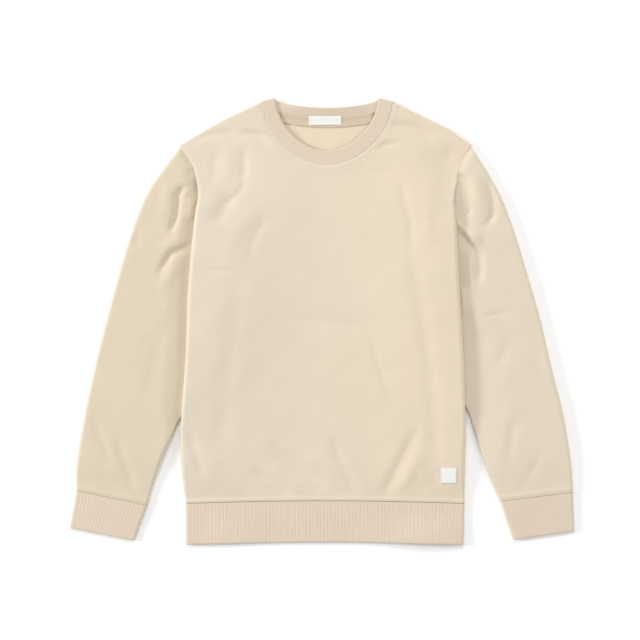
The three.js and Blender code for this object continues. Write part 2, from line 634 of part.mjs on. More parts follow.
// A thin piece lying on something: its rows of plan points, the height they lie at, and its wall.
function layer(rows, heightAt, wall) {
  const at = (lift) => rows.map((row) => row.map((p) => new THREE.Vector3(p.x, p.y, heightAt(p) + lift)));
  return wallSolid(at(wall), at(0));
}

function tapeRows() {
  return [0.8, neckTape.width].map((below) => steps(14).map((t) => {
    const x = neck.x + mix(-neckTape.halfWidth, neckTape.halfWidth, t);
    const share = clamp(Math.abs(x - neck.x) / (neck.halfWidth + seamGap));
    const fall = (1 - share ** neck.power) ** (1 / neck.power) * neck.backDrop;
    return new THREE.Vector2(x, neck.up - fall - neckTape.below - below);
  }));
}

function rectangleRows(x, up, width, height, count) {
  return steps(count).map((s) => steps(count).map((t) =>
    new THREE.Vector2(x + (t - 0.5) * width, up + (s - 0.5) * height)));
}

const group = new THREE.Group();

function addCloth(name, geometry, colour, roughness = 0.95) {
  const material = new THREE.MeshStandardMaterial({ color: colour, roughness, metalness: 0 });
  const mesh = new THREE.Mesh(geometry, material);
  mesh.name = name;
  group.add(mesh);
}

const boundary = frontBoundary();
const front = { outer: frontSkin(boundary, 0), inner: frontSkin(boundary, clothWall) };
addCloth("front_panel", wallSolid(front.outer, front.inner), colours.fleece);
addCloth("back_panel", backPanel(), colours.fleece);
addCloth("neck_rib", neckRib(), colours.rib);
addCloth("neck_tape", layer(tapeRows(), () => clothWall + layGap, neckTape.wall), colours.fleece);
const labelUp = neck.up - neck.backDrop - neckLabel.below - neckLabel.height / 2;
addCloth("neck_label", layer(rectangleRows(neckLabel.x, labelUp, neckLabel.width, neckLabel.height, 1),
  () => clothWall + 2 * layGap + neckTape.wall + neckLabel.lift, neckLabel.wall), colours.label, 0.6);

for (const [name, sleeve] of Object.entries(sleeves)) {
  const counts = { across: 11, beneath: 6, round: 4, rows: 17 };
  addCloth(`${name}_sleeve`, tubeSolid(sleevePatch(sleeve), (p) => sleeveTop(name, p), counts, clothWall),
    colours.fleece);
  const width = new THREE.Vector2(...sleeve.outer.at(-1)).distanceTo(new THREE.Vector2(...sleeve.inner.at(-1)));
  addCloth(`${name}_cuff`, ribbedTube(cuffPatch(sleeve), seamHeight, Math.round(width / ribs.cuff)),
    colours.rib);
  addCloth(`${name}_side_tuck`, sideTuck(name, front), colours.fleece);
}

const hemWidth = bodyEdges[0].right - bodyEdges[0].left;
addCloth("hem_rib", ribbedTube(hemPatchLines(), seamHeight, Math.round(hemWidth / ribs.hem)), colours.rib);
addCloth("hem_patch", layer(rectangleRows(hemPatch.x, hemPatch.up, hemPatch.side, hemPatch.side, 3),
  (p) => heightOn(front.outer, p.x, p.y) + hemPatch.lift, hemPatch.wall), colours.label, 0.6);

export default group;
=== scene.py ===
import bpy
import math
import numpy as np
from functools import partial
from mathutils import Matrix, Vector


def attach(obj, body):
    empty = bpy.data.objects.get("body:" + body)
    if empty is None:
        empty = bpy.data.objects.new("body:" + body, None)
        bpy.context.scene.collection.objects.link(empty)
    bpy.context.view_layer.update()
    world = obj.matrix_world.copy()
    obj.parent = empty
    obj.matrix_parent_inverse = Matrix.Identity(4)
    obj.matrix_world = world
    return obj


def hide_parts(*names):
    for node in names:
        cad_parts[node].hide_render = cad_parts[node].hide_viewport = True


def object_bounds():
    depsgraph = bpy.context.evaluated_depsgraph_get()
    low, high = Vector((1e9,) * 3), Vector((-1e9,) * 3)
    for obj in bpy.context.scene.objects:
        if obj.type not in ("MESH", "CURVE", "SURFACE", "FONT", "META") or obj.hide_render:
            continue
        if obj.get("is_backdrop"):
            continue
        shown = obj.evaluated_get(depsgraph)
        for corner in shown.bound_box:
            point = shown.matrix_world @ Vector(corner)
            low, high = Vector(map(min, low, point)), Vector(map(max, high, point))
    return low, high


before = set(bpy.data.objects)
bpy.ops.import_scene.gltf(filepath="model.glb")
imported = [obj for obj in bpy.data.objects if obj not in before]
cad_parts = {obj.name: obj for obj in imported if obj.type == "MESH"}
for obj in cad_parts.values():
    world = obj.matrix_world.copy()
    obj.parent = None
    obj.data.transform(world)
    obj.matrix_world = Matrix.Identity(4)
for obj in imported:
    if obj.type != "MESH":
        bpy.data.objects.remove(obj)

# A crewneck sweatshirt that lies on its back, seen from straight above.
# Sizes are in millimetres, and turned into metres where a mesh or the camera is made; the lamps are given
# in metres.
mm = 0.001
cadBox = [list(corner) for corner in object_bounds()]
scene = bpy.context.scene
print("frame loaded, box", cadBox)

cloth = {
    "wall": 2.4,
    "ribWall": 3.0,
    "seamGap": 0.4,
    "layGap": 0.3,
    "layHeight": 8.4,      # top of the front in the middle of the body
    "seamHeight": 7.0,     # along the hem, cuff and shoulder seams
    "tuckRise": 6.2,       # the folded side lifts the front
    "sleeveRise": 5.0,     # and the sleeve under it lifts it again
    "hiddenSleeve": 5.6,
}


# Camera, floor and light

studio = {
    "middle": (-2.7, 2.3),       # what the camera points at
    "frameWidth": 972.8,         # width of cloth that the picture takes in
    "cameraHeight": 2600,
    "lamps": [
        {"name": "topLamp", "place": (-0.5, 4.6, 4.2), "size": 2.2, "power": 135,
         "colour": (1.0, 0.99, 0.98)},
        {"name": "leftLamp", "place": (-5.2, 0.7, 2.1), "size": 1.4, "power": 215,
         "colour": (1.0, 0.985, 0.96)},
        {"name": "rightLamp", "place": (4.2, 0.4, 3.1), "size": 2.6, "power": 66,
         "colour": (0.98, 0.99, 1.0)},
    ],
    "skyStrength": 0.57,
    "floorTone": (0.975, 0.975, 0.975),
}


def aimed(item, place, target=(0, 0, 0)):
    item.location = place
    way = Vector(target) - Vector(place)
    item.rotation_euler = way.to_track_quat("-Z", "Y").to_euler()


def addLamp(name, place, size, power, colour):
    lamp = bpy.data.lights.new(name, "AREA")
    lamp.shape = "DISK"
    lamp.size = size
    lamp.energy = power
    lamp.color = colour
    item = bpy.data.objects.new(name, lamp)
    scene.collection.objects.link(item)
    aimed(item, place)


def makeStudio():
    camera = bpy.data.cameras.new("photoCamera")
    camera.sensor_fit = "HORIZONTAL"
    camera.angle = 2 * math.atan(studio["frameWidth"] / 2 / (studio["cameraHeight"] - 6))
    item = bpy.data.objects.new("photoCamera", camera)
    item.location = (studio["middle"][0] * mm, studio["middle"][1] * mm, studio["cameraHeight"] * mm)
    scene.collection.objects.link(item)
    scene.camera = item
    for lamp in studio["lamps"]:
        addLamp(**lamp)
    world = bpy.data.worlds.new("studioWorld")
    world.use_nodes = True
    sky = world.node_tree.nodes["Background"]
    sky.inputs["Color"].default_value = (1, 1, 1, 1)
    sky.inputs["Strength"].default_value = studio["skyStrength"]
    scene.world = world
    scene.view_settings.view_transform = "Standard"
    bpy.ops.mesh.primitive_plane_add(size=9, location=(0, 0, -0.0004))
    floor = bpy.context.object
    floor.name = "floor"
    paper = bpy.data.materials.new("whiteFloor")
    paper.use_nodes = True
    shader = paper.node_tree.nodes["Principled BSDF"]
    shader.inputs["Base Color"].default_value = (*studio["floorTone"], 1)
    shader.inputs["Roughness"].default_value = 0.9
    floor.data.materials.append(paper)
    floor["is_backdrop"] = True


makeStudio()
print("camera, floor and light made")


# Small tools for shapes

def clamp(v, low=0.0, high=1.0):
    return np.clip(v, low, high)


def mix(a, b, t):
    return a + (b - a) * t


def rising(v, start, end):
    t = clamp((v - start) / (end - start))
    return t * t * (3 - 2 * t)


def catmull(points, perSpan=60):    # a smooth line through plan points
    p = np.asarray(points, float)
    ends = np.vstack([p[:1], p, p[-1:]])
    t = np.linspace(0, 1, perSpan, endpoint=False)[:, None]
    spans = []
    for a, b, c, d in zip(ends, ends[1:], ends[2:], ends[3:]):
        va, vb = (c - a) / 2, (d - b) / 2
        cubic = 2 * b - 2 * c + va + vb
        square = 3 * c - 3 * b - 2 * va - vb
        spans.append(cubic * t ** 3 + square * t ** 2 + va * t + b)
    return np.vstack(spans + [p[-1:]])


def alongLine(points):    # a line as a function of the share of its length
    p = np.asarray(points, float)
    run = np.concatenate([[0], np.cumsum(np.hypot(*np.diff(p, axis=0).T))])
    share = run / run[-1]
    return lambda t: np.stack([np.interp(t, share, p[:, 0]), np.interp(t, share, p[:, 1])], -1)


def curveThrough(points):
    return alongLine(catmull(points))


def columnOf(rows):    # x as a smooth function of the place up the garment, from (x, up) rows
    line = catmull(sorted(rows, key=lambda row: row[1]))
    return lambda up: np.interp(up, line[:, 1], line[:, 0])


def sideways(curve, t, turn):    # plan normal of a boundary line
    step = 0.006
    way = curve(clamp(t + step)) - curve(clamp(t - step))
    way = way / np.linalg.norm(way, axis=-1, keepdims=True)
    return np.stack([way[..., 1] * turn, -way[..., 0] * turn], -1)


def patchOf(bottom, top, start, end):    # four boundary lines, as curves or as rows of points
    lines = {"bottom": bottom, "top": top, "start": start, "end": end}
    return {name: line if callable(line) else alongLine(line) for name, line in lines.items()}


def patchPoints(patch, u, v):    # plan points between the four boundary lines
    u, v = np.broadcast_arrays(np.asarray(u, float), np.asarray(v, float))
    ue, ve = u[..., None], v[..., None]
    corner = lambda side, end: patch[side](np.array(float(end)))
    return (patch["bottom"](u) * (1 - ve) + patch["top"](u) * ve + patch["start"](v) * (1 - ue)
            + patch["end"](v) * ue - corner("bottom", 0) * (1 - ue) * (1 - ve)
            - corner("bottom", 1) * ue * (1 - ve) - corner("top", 0) * (1 - ue) * ve
            - corner("top", 1) * ue * ve)


def graded(length, fine, coarse, fineStart, fineEnd):    # shares, close together near both ends
    start = np.arange(0, fineStart, fine)
    end = length - np.arange(0, fineEnd, fine)[::-1]
    count = max(2, round((length - fineStart - fineEnd) / coarse))
    middle = np.linspace(fineStart, length - fineEnd, count)
    return np.unique(np.concatenate([start, middle, end]).round(4)) / length


def wallMesh(outer, inner, rowMatch, colMatch, closed):
    # Faces between two skins of rows of points. Inner rows and columns stand under the matched outer ones.
    outerIds = np.arange(outer.shape[0] * outer.shape[1]).reshape(outer.shape[:2])
    innerIds = np.arange(inner.shape[0] * inner.shape[1]).reshape(inner.shape[:2]) + outerIds.size
    points = np.vstack([outer.reshape(-1, 3), inner.reshape(-1, 3)])
    faces = []

    def skin(ids, turned):
        grid = np.hstack([ids, ids[:, :1]]) if closed else ids
        quads = np.stack([grid[:-1, :-1], grid[:-1, 1:], grid[1:, 1:], grid[1:, :-1]], -1).reshape(-1, 4)
        faces.extend((quads[:, ::-1] if turned else quads).tolist())

    def rim(out, inn, match, turned, wraps):
        ends = list(match) + ([len(out)] if wraps else [])
        out = list(out) + ([out[0]] if wraps else [])
        inn = list(inn) + ([inn[0]] if wraps else [])
        for j in range(len(inn) - 1):
            for k in range(ends[j], ends[j + 1]):
                faces.append([inn[j], out[k + 1], out[k]] if turned else [inn[j], out[k], out[k + 1]])
            last = [inn[j], out[ends[j + 1]], inn[j + 1]]
            faces.append(last[::-1] if turned else last)

    skin(outerIds, False)
    skin(innerIds, True)
    rim(outerIds[0], innerIds[0], colMatch, True, closed)
    rim(outerIds[-1], innerIds[-1], colMatch, False, closed)
    if not closed:
        rim(outerIds[:, 0], innerIds[:, 0], rowMatch, False, False)
        rim(outerIds[:, -1], innerIds[:, -1], rowMatch, True, False)
    return points, faces


def facesOut(points, faces):
    tri = np.array([[f[0], f[1], f[2]] for f in faces] + [[f[0], f[2], f[3]] for f in faces if len(f) == 4])
    a, b, c = points[tri[:, 0]], points[tri[:, 1]], points[tri[:, 2]]
    return faces if np.einsum("ij,ij->", a, np.cross(b, c)) > 0 else [f[::-1] for f in faces]


def addPiece(name, points, faces, material, replaced=(), sharp=50):
    mesh = bpy.data.meshes.new(name)
    mesh.from_pydata((points * mm).tolist(), [], facesOut(points, faces))
    mesh.polygons.foreach_set("use_smooth", [True] * len(mesh.polygons))
    mesh.set_sharp_from_angle(angle=math.radians(sharp))
    mesh.materials.append(material)
    mesh.update()
    piece = bpy.data.objects.new(name, mesh)
    scene.collection.objects.link(piece)
    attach(piece, "root")
    if replaced:
        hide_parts(*replaced)
    print(name, len(mesh.polygons), "faces")
    return piece


def every(count, step):    # every so many of a row of points, with the last one
    kept = list(range(0, count - 1, step))
    return kept + [count - 1]


# Materials

knit = {
    "wale": 1.15,          # width of a column of stitches
    "course": 0.95,        # height of a row of stitches
    "fleeceColour": (0.696, 0.609, 0.484),
    "ribColour": (0.672, 0.566, 0.450),
    "insideColour": (0.740, 0.626, 0.472),
    "tapeColour": (0.610, 0.502, 0.368),
    "labelColour": (0.815, 0.81, 0.785),
    "collarColour": (0.655, 0.552, 0.437),
    "coolUpTo": -190,
    "warmFrom": 215,
    "coolTint": (0.992, 1.002, 1.016),
    "warmTint": (1.012, 0.987, 0.960),
    "threadColour": (0.690, 0.604, 0.480),
    # the left sleeve's fleece is darker than the body's, which is painted shade; it is also a little
    # yellower
    "leftSleeveShadedColour": (0.664, 0.572, 0.435),
    "rightSleeveColour": (0.690, 0.600, 0.475),
    "roughness": 0.93,
    "sheen": 0.12,
    "rib": {"bump": 0.3, "wale": 1.4, "course": 1.0},
    "cuff": {"bump": 0.3, "wale": 1.3, "course": 1.0},
}


def fill(node, values):
    for name, value in values.items():
        node.inputs[name].default_value = value


def newMaterial(name, colour, roughness, sheen):
    material = bpy.data.materials.new(name)
    material.use_nodes = True
    tree = material.node_tree
    shader = tree.nodes["Principled BSDF"]
    fill(shader, {"Base Color": (*colour, 1), "Roughness": roughness, "Specular IOR Level": 0.25,
                  "Sheen Weight": sheen, "Sheen Roughness": 0.6})
    return material, tree, shader


def mathNode(tree, operation, *values):
    node = tree.nodes.new("ShaderNodeMath")
    node.operation = operation
    for place, value in enumerate(values):
        if hasattr(value, "is_output"):
            tree.links.new(value, node.inputs[place])
        else:
            node.inputs[place].default_value = value
    return node.outputs[0]


def noiseNode(tree, vector, scale, detail, roughness=0.5):
    node = tree.nodes.new("ShaderNodeTexNoise")
    fill(node, {"Scale": scale, "Detail": detail, "Roughness": roughness})
    tree.links.new(vector, node.inputs["Vector"])
    return node.outputs["Fac"]


def clothCoordinates(tree, grain):    # turned so that the stitches run along the piece
    place = tree.nodes.new("ShaderNodeTexCoord")
    turn = tree.nodes.new("ShaderNodeMapping")
    fill(turn, {"Rotation": (0, 0, math.radians(grain))})
    tree.links.new(place.outputs["Object"], turn.inputs["Vector"])
    return turn.outputs["Vector"]


def stitchHeight(tree, vector, wale, course):    # rows of small V-shaped stitches
    calc = partial(mathNode, tree)
    split = tree.nodes.new("ShaderNodeSeparateXYZ")
    tree.links.new(vector, split.inputs[0])
    across = calc("MULTIPLY", split.outputs["X"], 1 / (wale * mm))
    up = calc("MULTIPLY", split.outputs["Y"], 1 / (course * mm))
    part = calc("FRACT", across)
    arm = calc("ABSOLUTE", calc("SUBTRACT", part, 0.5))
    arm = calc("MULTIPLY", arm, 2.0)
    slanted = calc("ADD", up, calc("MULTIPLY", arm, 0.55))
    loop = calc("SINE", calc("MULTIPLY", slanted, 2 * math.pi))
    loop = calc("MULTIPLY_ADD", loop, 0.5, 0.5)
    leg = calc("SINE", calc("MULTIPLY", arm, math.pi))
    return calc("MULTIPLY", leg, calc("MULTIPLY_ADD", loop, 0.6, 0.4))


def shadeColour(tree, colour, factor, low, high):    # darker and lighter by a factor
    ramp = tree.nodes.new("ShaderNodeMapRange")
    fill(ramp, {"To Min": low, "To Max": high})
    tree.links.new(factor, ramp.inputs["Value"])
    tint = tree.nodes.new("ShaderNodeVectorMath")
    tint.operation = "SCALE"
    if hasattr(colour, "is_output"):
        tree.links.new(colour, tint.inputs[0])
    else:
        tint.inputs[0].default_value = colour
    tree.links.new(ramp.outputs["Result"], tint.inputs["Scale"])
    return tint.outputs[0]


def driftingColour(tree, colour):    # a little cooler on the left, warmer on the right
    place = tree.nodes.new("ShaderNodeTexCoord")
    split = tree.nodes.new("ShaderNodeSeparateXYZ")
    tree.links.new(place.outputs["Object"], split.inputs[0])
    blot = noiseNode(tree, place.outputs["Object"], 5, 2)
    blotting, middle = 0.3, 0.15    # how far blots move the border, and where that puts its middle
    across = mathNode(tree, "MULTIPLY_ADD", blot, blotting, split.outputs["X"])
    share = tree.nodes.new("ShaderNodeMapRange")
    share.interpolation_type = "SMOOTHSTEP"
    fill(share, {"From Min": middle + knit["coolUpTo"] * mm, "From Max": middle + knit["warmFrom"] * mm})
    tree.links.new(across, share.inputs["Value"])
    blend = tree.nodes.new("ShaderNodeMix")
    blend.data_type = "RGBA"
    tree.links.new(share.outputs["Result"], blend.inputs["Factor"])
    fill(blend, {"A": (*(np.array(colour) * knit["coolTint"]).tolist(), 1),
                 "B": (*(np.array(colour) * knit["warmTint"]).tolist(), 1)})
    return blend.outputs["Result"]


def addRelief(tree, shader, height, strength, distance):
    relief = tree.nodes.new("ShaderNodeBump")
    fill(relief, {"Strength": strength, "Distance": distance})
    tree.links.new(height, relief.inputs["Height"])
    tree.links.new(relief.outputs["Normal"], shader.inputs["Normal"])


def knitMaterial(name, colour, grain=0, bump=0.25, wale=None, course=None, inside=False, drift=False):
    material, tree, shader = newMaterial(name, colour, knit["roughness"], knit["sheen"])
    vector = clothCoordinates(tree, grain)
    if drift:
        colour = driftingColour(tree, colour)
    stitches = stitchHeight(tree, vector, wale or knit["wale"], course or knit["course"])
    fuzz = noiseNode(tree, vector, 2600 if inside else 1900, 3, 0.7)
    cloudy = noiseNode(tree, vector, 14, 3)
    heather = noiseNode(tree, vector, 420, 4, 0.65)
    # the stitch height also sets the colour: painted shade in the grooves between the stitches, a painted
    # highlight on the loops
    toneWithPaintedShade = shadeColour(tree, colour, stitches, 0.955, 1.03)
    toneWithPaintedShade = shadeColour(tree, toneWithPaintedShade, heather, 0.955, 1.045)
    toneWithPaintedShade = shadeColour(tree, toneWithPaintedShade, cloudy, 0.975, 1.025)
    tree.links.new(toneWithPaintedShade, shader.inputs["Base Color"])
    height = mathNode(tree, "MULTIPLY_ADD", fuzz, 0.9 if inside else 0.5, stitches)
    addRelief(tree, shader, height, bump, 0.0004)
    return material


def labelMaterial(name, colour):    # smooth woven tape, with a fine plain weave
    material, tree, shader = newMaterial(name, colour, 0.6, 0.05)
    vector = clothCoordinates(tree, 0)
    split = tree.nodes.new("ShaderNodeSeparateXYZ")
    tree.links.new(vector, split.inputs[0])
    threads = []
    for axis in ("X", "Y"):
        wave = mathNode(tree, "MULTIPLY", split.outputs[axis], 2 * math.pi / (0.45 * mm))
        threads.append(mathNode(tree, "SINE", wave))
    weave = mathNode(tree, "MULTIPLY", threads[0], threads[1])
    weave = mathNode(tree, "MULTIPLY_ADD", weave, 0.5, 0.5)
    cloudy = noiseNode(tree, vector, 90, 2)
    # the weave also darkens the colour where the threads dip under each other: painted shade
    toneWithPaintedShade = shadeColour(tree, colour, weave, 0.96, 1.02)
    toneWithPaintedShade = shadeColour(tree, toneWithPaintedShade, cloudy, 0.97, 1.02)
    tree.links.new(toneWithPaintedShade, shader.inputs["Base Color"])
    addRelief(tree, shader, weave, 0.3, 0.0002)
    return material


def threadMaterial(name, colour):    # sewing thread with its twist
    material, tree, shader = newMaterial(name, colour, 0.55, 0.1)
    vector = clothCoordinates(tree, 35)
    twist = tree.nodes.new("ShaderNodeTexWave")
    fill(twist, {"Scale": 1400, "Distortion": 0.6})
    tree.links.new(vector, twist.inputs["Vector"])
    # the twist darkens the colour in its grooves: painted shade
    toneWithPaintedShade = shadeColour(tree, colour, twist.outputs["Fac"], 0.9, 1.05)
    tree.links.new(toneWithPaintedShade, shader.inputs["Base Color"])
    return material


finish = {
    "body": knitMaterial("fleeceBody", knit["fleeceColour"], drift=True),
    # the left sleeve uses the darker fleece: painted shade
    "leftSleeve": knitMaterial("fleeceLeftSleeveShaded", knit["leftSleeveShadedColour"], grain=16),
    "rightSleeve": knitMaterial("fleeceRightSleeve", knit["rightSleeveColour"], grain=-16),
    "inside": knitMaterial("fleeceInside", knit["insideColour"], bump=0.35, course=1.6, inside=True),
    "tape": knitMaterial("neckTapeKnit", knit["tapeColour"], bump=0.3),
    "rib": knitMaterial("ribKnit", knit["ribColour"], **knit["rib"]),
    "collar": knitMaterial("ribKnitCollar", knit["collarColour"], **knit["rib"]),
    "leftCuff": knitMaterial("ribKnitLeftCuff", knit["ribColour"], grain=12, **knit["cuff"]),
    "rightCuff": knitMaterial("ribKnitRightCuff", knit["ribColour"], grain=-8, **knit["cuff"]),
    "label": labelMaterial("wovenLabel", knit["labelColour"]),
    "thread": threadMaterial("sewingThread", knit["threadColour"]),
}
print("materials made")


# Outline of the garment, as (x, up) points of each line

bodyEdge = {
    "left": [(-207, -276), (-214, -215), (-213.5, -150), (-207, -55), (-202, 60), (-193, 158),
             (-187.5, 195), (-195, 235), (-214, 265.5)],
    "right": [(217, -276), (217.5, -215), (218, -150), (215.5, -55), (208.5, 60), (204.5, 160),
              (203.5, 190), (209.5, 236), (226, 265.5)],
}
tuckEdge = {
    "left": [(-158, -276), (-147, -198), (-142, -89), (-124, 2), (-108, 112), (-100, 203)],
    "right": [(180, -276), (174, -198), (161, -89), (149, 2), (128, 112), (113, 203)],
}
sleeveLine = {
    "left": {
        "outer": [(-216, 264.8), (-261, 203), (-285.5, 148), (-308, 75), (-328, 2), (-346, -71),
                  (-361.5, -144), (-373, -217), (-373.5, -257)],
        "inner": [(-117, 52), (-155, -36), (-205, -131.5), (-223, -162), (-252, -235), (-265.5, -279)],
        "armhole": [(-214, 265.5), (-195, 235), (-187.5, 195), (-160, 120), (-117, 52)],
        "cuffOuter": (-383.5, -314),
        "cuffInner": (-285.5, -333.5),
    },
    "right": {
        "outer": [(228, 264.8), (266.5, 203), (289, 148), (312, 75), (333, 2), (350, -71), (368, -144),
                  (379.5, -217), (382, -259)],
        "inner": [(132.5, 52), (169, -36), (220, -133), (230, -162), (255.5, -235), (272.5, -273)],
        "armhole": [(226, 265.5), (209.5, 236), (203.5, 190), (178, 120), (132.5, 52)],
        "cuffOuter": (384.5, -318.5),
        "cuffInner": (292, -332),
    },
}
place = {
    "hemSeam": -276,
    "hemBow": 4,
    "hemBottom": -339.5,
    "hemLeft": -206.5,
    "hemRight": 215.5,
    "shoulder": 267,
}
neckline = {"x": 8, "up": 333.5, "halfWidth": 98.5, "front": 101, "back": 24, "power": 1.85}
neckEdge = {"x": 7.5, "up": 339, "halfWidth": 78.5, "front": 83.5, "back": 14.5, "power": 1.85}
shoulderLine = {"left": [(-175, 294), (-141, 312.5)], "right": [(154, 312.5), (192, 294)]}
sides = ("left", "right")
turnOf = {"left": -1, "right": 1}

edgeX = {side: columnOf(bodyEdge[side]) for side in sides}
tuckX = {side: columnOf(tuckEdge[side]) for side in sides}
hiddenX = {side: columnOf(sleeveLine[side]["inner"][:5] + sleeveLine[side]["armhole"][2:4])
           for side in sides}
seamX = {side: columnOf(tuckEdge[side][:4] + sleeveLine[side]["armhole"]) for side in sides}


def hemBow(x):
    left, right = bodyEdge["left"][0][0], bodyEdge["right"][0][0]
    return place["hemBow"] * np.sin(np.pi * clamp((x - left) / (right - left)))


def neckPoints(line, turn, grow=0.0):    # turn 0 is the right fold and a half turn the left one
    c, s = np.cos(turn * 2 * np.pi), np.sin(turn * 2 * np.pi)
    drop = np.where(np.mod(turn, 1) < 0.5, line["front"], line["back"]) + grow
    rounding = 0.05
    fall = np.sqrt(np.abs(s) ** (4 / line["power"]) + rounding ** 2) - rounding
    x = line["x"] + np.sign(c) * np.abs(c) ** (2 / line["power"]) * (line["halfWidth"] + grow)
    return np.stack([x, line["up"] - fall * drop], -1)


def fromNeckline(x, y):    # rough distance outside the front neckline
    across = np.abs(x - neckline["x"]) / neckline["halfWidth"]
    down = clamp(neckline["up"] - y, 0, None) / neckline["front"]
    power, size = neckline["power"], 99
    return ((across ** power + down ** power) ** (1 / power) - 1) * size


def awayFrom(x, y, path):    # distance to a line through plan points, and the share along it
    line = np.asarray(path, float)
    best = np.full(np.shape(x), 1e9)
    share = np.zeros(np.shape(x))
    steps = np.hypot(*np.diff(line, axis=0).T)
    run = np.concatenate([[0], np.cumsum(steps)])
    for k, (a, b) in enumerate(zip(line[:-1], line[1:])):
        way = b - a
        t = clamp(((x - a[0]) * way[0] + (y - a[1]) * way[1]) / (way @ way))
        away = np.hypot(x - a[0] - t * way[0], y - a[1] - t * way[1])
        nearer = away < best
        best = np.where(nearer, away, best)
        share = np.where(nearer, (run[k] + t * steps[k]) / run[-1], share)
    return best, share


def crease(width, rise, *path, fade=0.3):    # a trough, or a ridge where it rises, along plan points
    return {"width": width, "rise": rise, "path": path, "fade": fade}


def foldHeight(folds, x, y):    # creases fade towards their ends
    total = np.zeros(np.shape(x))
    for fold in folds:
        path = catmull(fold["path"], 8)
        away, share = awayFrom(x, y, path)
        fade = fold["fade"]
        strength = rising(share, -0.02, fade) * (1 - rising(share, 1 - fade, 1.02))
        total = total + fold["rise"] * strength * np.exp(-(away / fold["width"]) ** 2)
    return total


def unevenness(x, y, size):    # the slight waviness of cloth that has been worn and laid down
    waves = [(97, 0.3, 1.0), (61, 1.35, 0.6), (43, 2.4, 0.4),    # length, angle and share of each
             (29, 0.9, 0.22), (17, 2.0, 0.1), (11, 2.9, 0.05)]
    total = 0
    for k, (length, angle, share) in enumerate(waves):
        along = x * math.cos(angle) + y * math.sin(angle)
        across = y * math.cos(angle) - x * math.sin(angle)
        bend = 0.35 * length * np.sin(across / (1.9 * length) + 1.7 * k)
        total = total + share * np.sin(2 * np.pi * (along + bend) / length + 2.3 * k)
    return size * total


# Front

front = {
    "fine": 0.9,
    "coarse": 2.7,
    "rollSteps": 12,
    "underSteps": 14,
    "uneven": 0.26,
    "hemPuff": 0.8,        # the cloth swells above the hem seam
    "hemGap": 0.8,
    "neckPuff": 0.25,
    "neckGap": 3.0,
    "liftEnds": (160, 252),
    "tuckStarts": (-276, -205),       # stretches up the garment
    "sleeveStarts": (-190, -120),
    "foldOpens": (172, 214),
    "shoulderDips": (225, 300),
    "hemDip": 34,
    "armholeAngle": 48,
    "edgeRound": 3.5,      # the neckline and shoulders turn down over this
    "tuckSlope": (-116, 50),
    "sleeveSlope": (-104, 56),
    "folds": [
        crease(6, -1.4, (-202, 276), (-165, 284), (-140, 287), (-119, 287)),
        crease(5, -3.8, (-132, 283), (-113, 286), (-97, 283), (-86, 275), (-76, 266), fade=0.5),
        crease(8, -1.5, (-161, 262), (-163, 235), (-165, 205)),
        crease(8, 1.1, (-143, 272), (-141, 236), (-143, 210)),
        crease(6, -2.0, (-119, 270), (-118, 240), (-119, 205)),
        crease(6, -1.6, (-117, 216), (-124, 198), (-138, 184), (-152, 172)),
        crease(14, -3.4, (-134, 196), (-148, 174), (-160, 142)),
        crease(11, 1.1, (-88, 180), (-112, 156), (-134, 122), (-142, 92)),
        crease(6, -1.0, (-80, 162), (-95, 140), (-106, 114), (-110, 86)),
        crease(14, -1.1, (-112, 118), (-124, 60), (-134, -20), (-147, -120), (-152, -244)),
        crease(4, -0.8, (-181, 77), (-126, 77)),
        crease(7, -2.8, (98, 300), (121, 298), (147, 293), (163, 284), (180, 277)),
        crease(4.5, -2.0, (78, 264), (99, 268), (124, 274)),
        crease(10, -1.5, (186, 268), (206, 246), fade=0.5),
        crease(24, -4.0, (186, 274), (196, 210), (198, 140)),
        crease(7, -1.9, (118, 220), (124, 190), (134, 152), (138, 100)),
        crease(12, -2.2, (134, 130), (144, 60), (154, 2), (168, -110), (176, -250), fade=0.2),
        crease(8, 1.0, (160, 182), (160, 150), (164, 112)),
        crease(6, -0.8, (50, 227), (106, 228)),
        crease(7, -0.7, (-76, 8), (0, 0), (70, -10)),
        crease(5, -1.2, (70, -10), (84, -58), (98, -98), (119, -138)),
        crease(8.5, -2.8, (148, -156), (122, -210), (92, -268), fade=0.22),
        crease(8, 1.2, (152, -192), (132, -232), (114, -262)),
        crease(7.5, -1.9, (-84, -186), (-40, -216), (10, -256)),
        crease(6.5, -1.8, (-108, -222), (-72, -248), (-40, -268)),
        crease(7.5, -1.8, (12, -172), (34, -222), (58, -268)),
        crease(8, 1.1, (-30, -198), (0, -220), (26, -246)),
        crease(8, 0.8, (-84, -212), (-56, -236), (-24, -262)),
        crease(6, -1.4, (152, -206), (166, -230), (180, -252)),
        crease(6, -1.2, (134, -232), (150, -246), (164, -258)),
        crease(8, -1.7, (-202, -166), (-188, -206), (-176, -238)),
    ],
}


def tuckRelief(x, y):    # how far the tucked sides, and the sleeves beneath them, lift the front
    total = 0
    fade = 1 - rising(y, *front["liftEnds"])
    tucked = cloth["tuckRise"] * rising(y, *front["tuckStarts"]) * fade
    lifted = cloth["sleeveRise"] * rising(y, *front["sleeveStarts"]) * fade
    for side in sides:
        turn = turnOf[side]
        pastTuck = turn * (x - tuckX[side](y))
        pastSleeve = turn * (x - hiddenX[side](y))
        total = total + tucked * rising(pastTuck, *front["tuckSlope"])
        total = total + lifted * rising(pastSleeve, *front["sleeveSlope"])
    return total


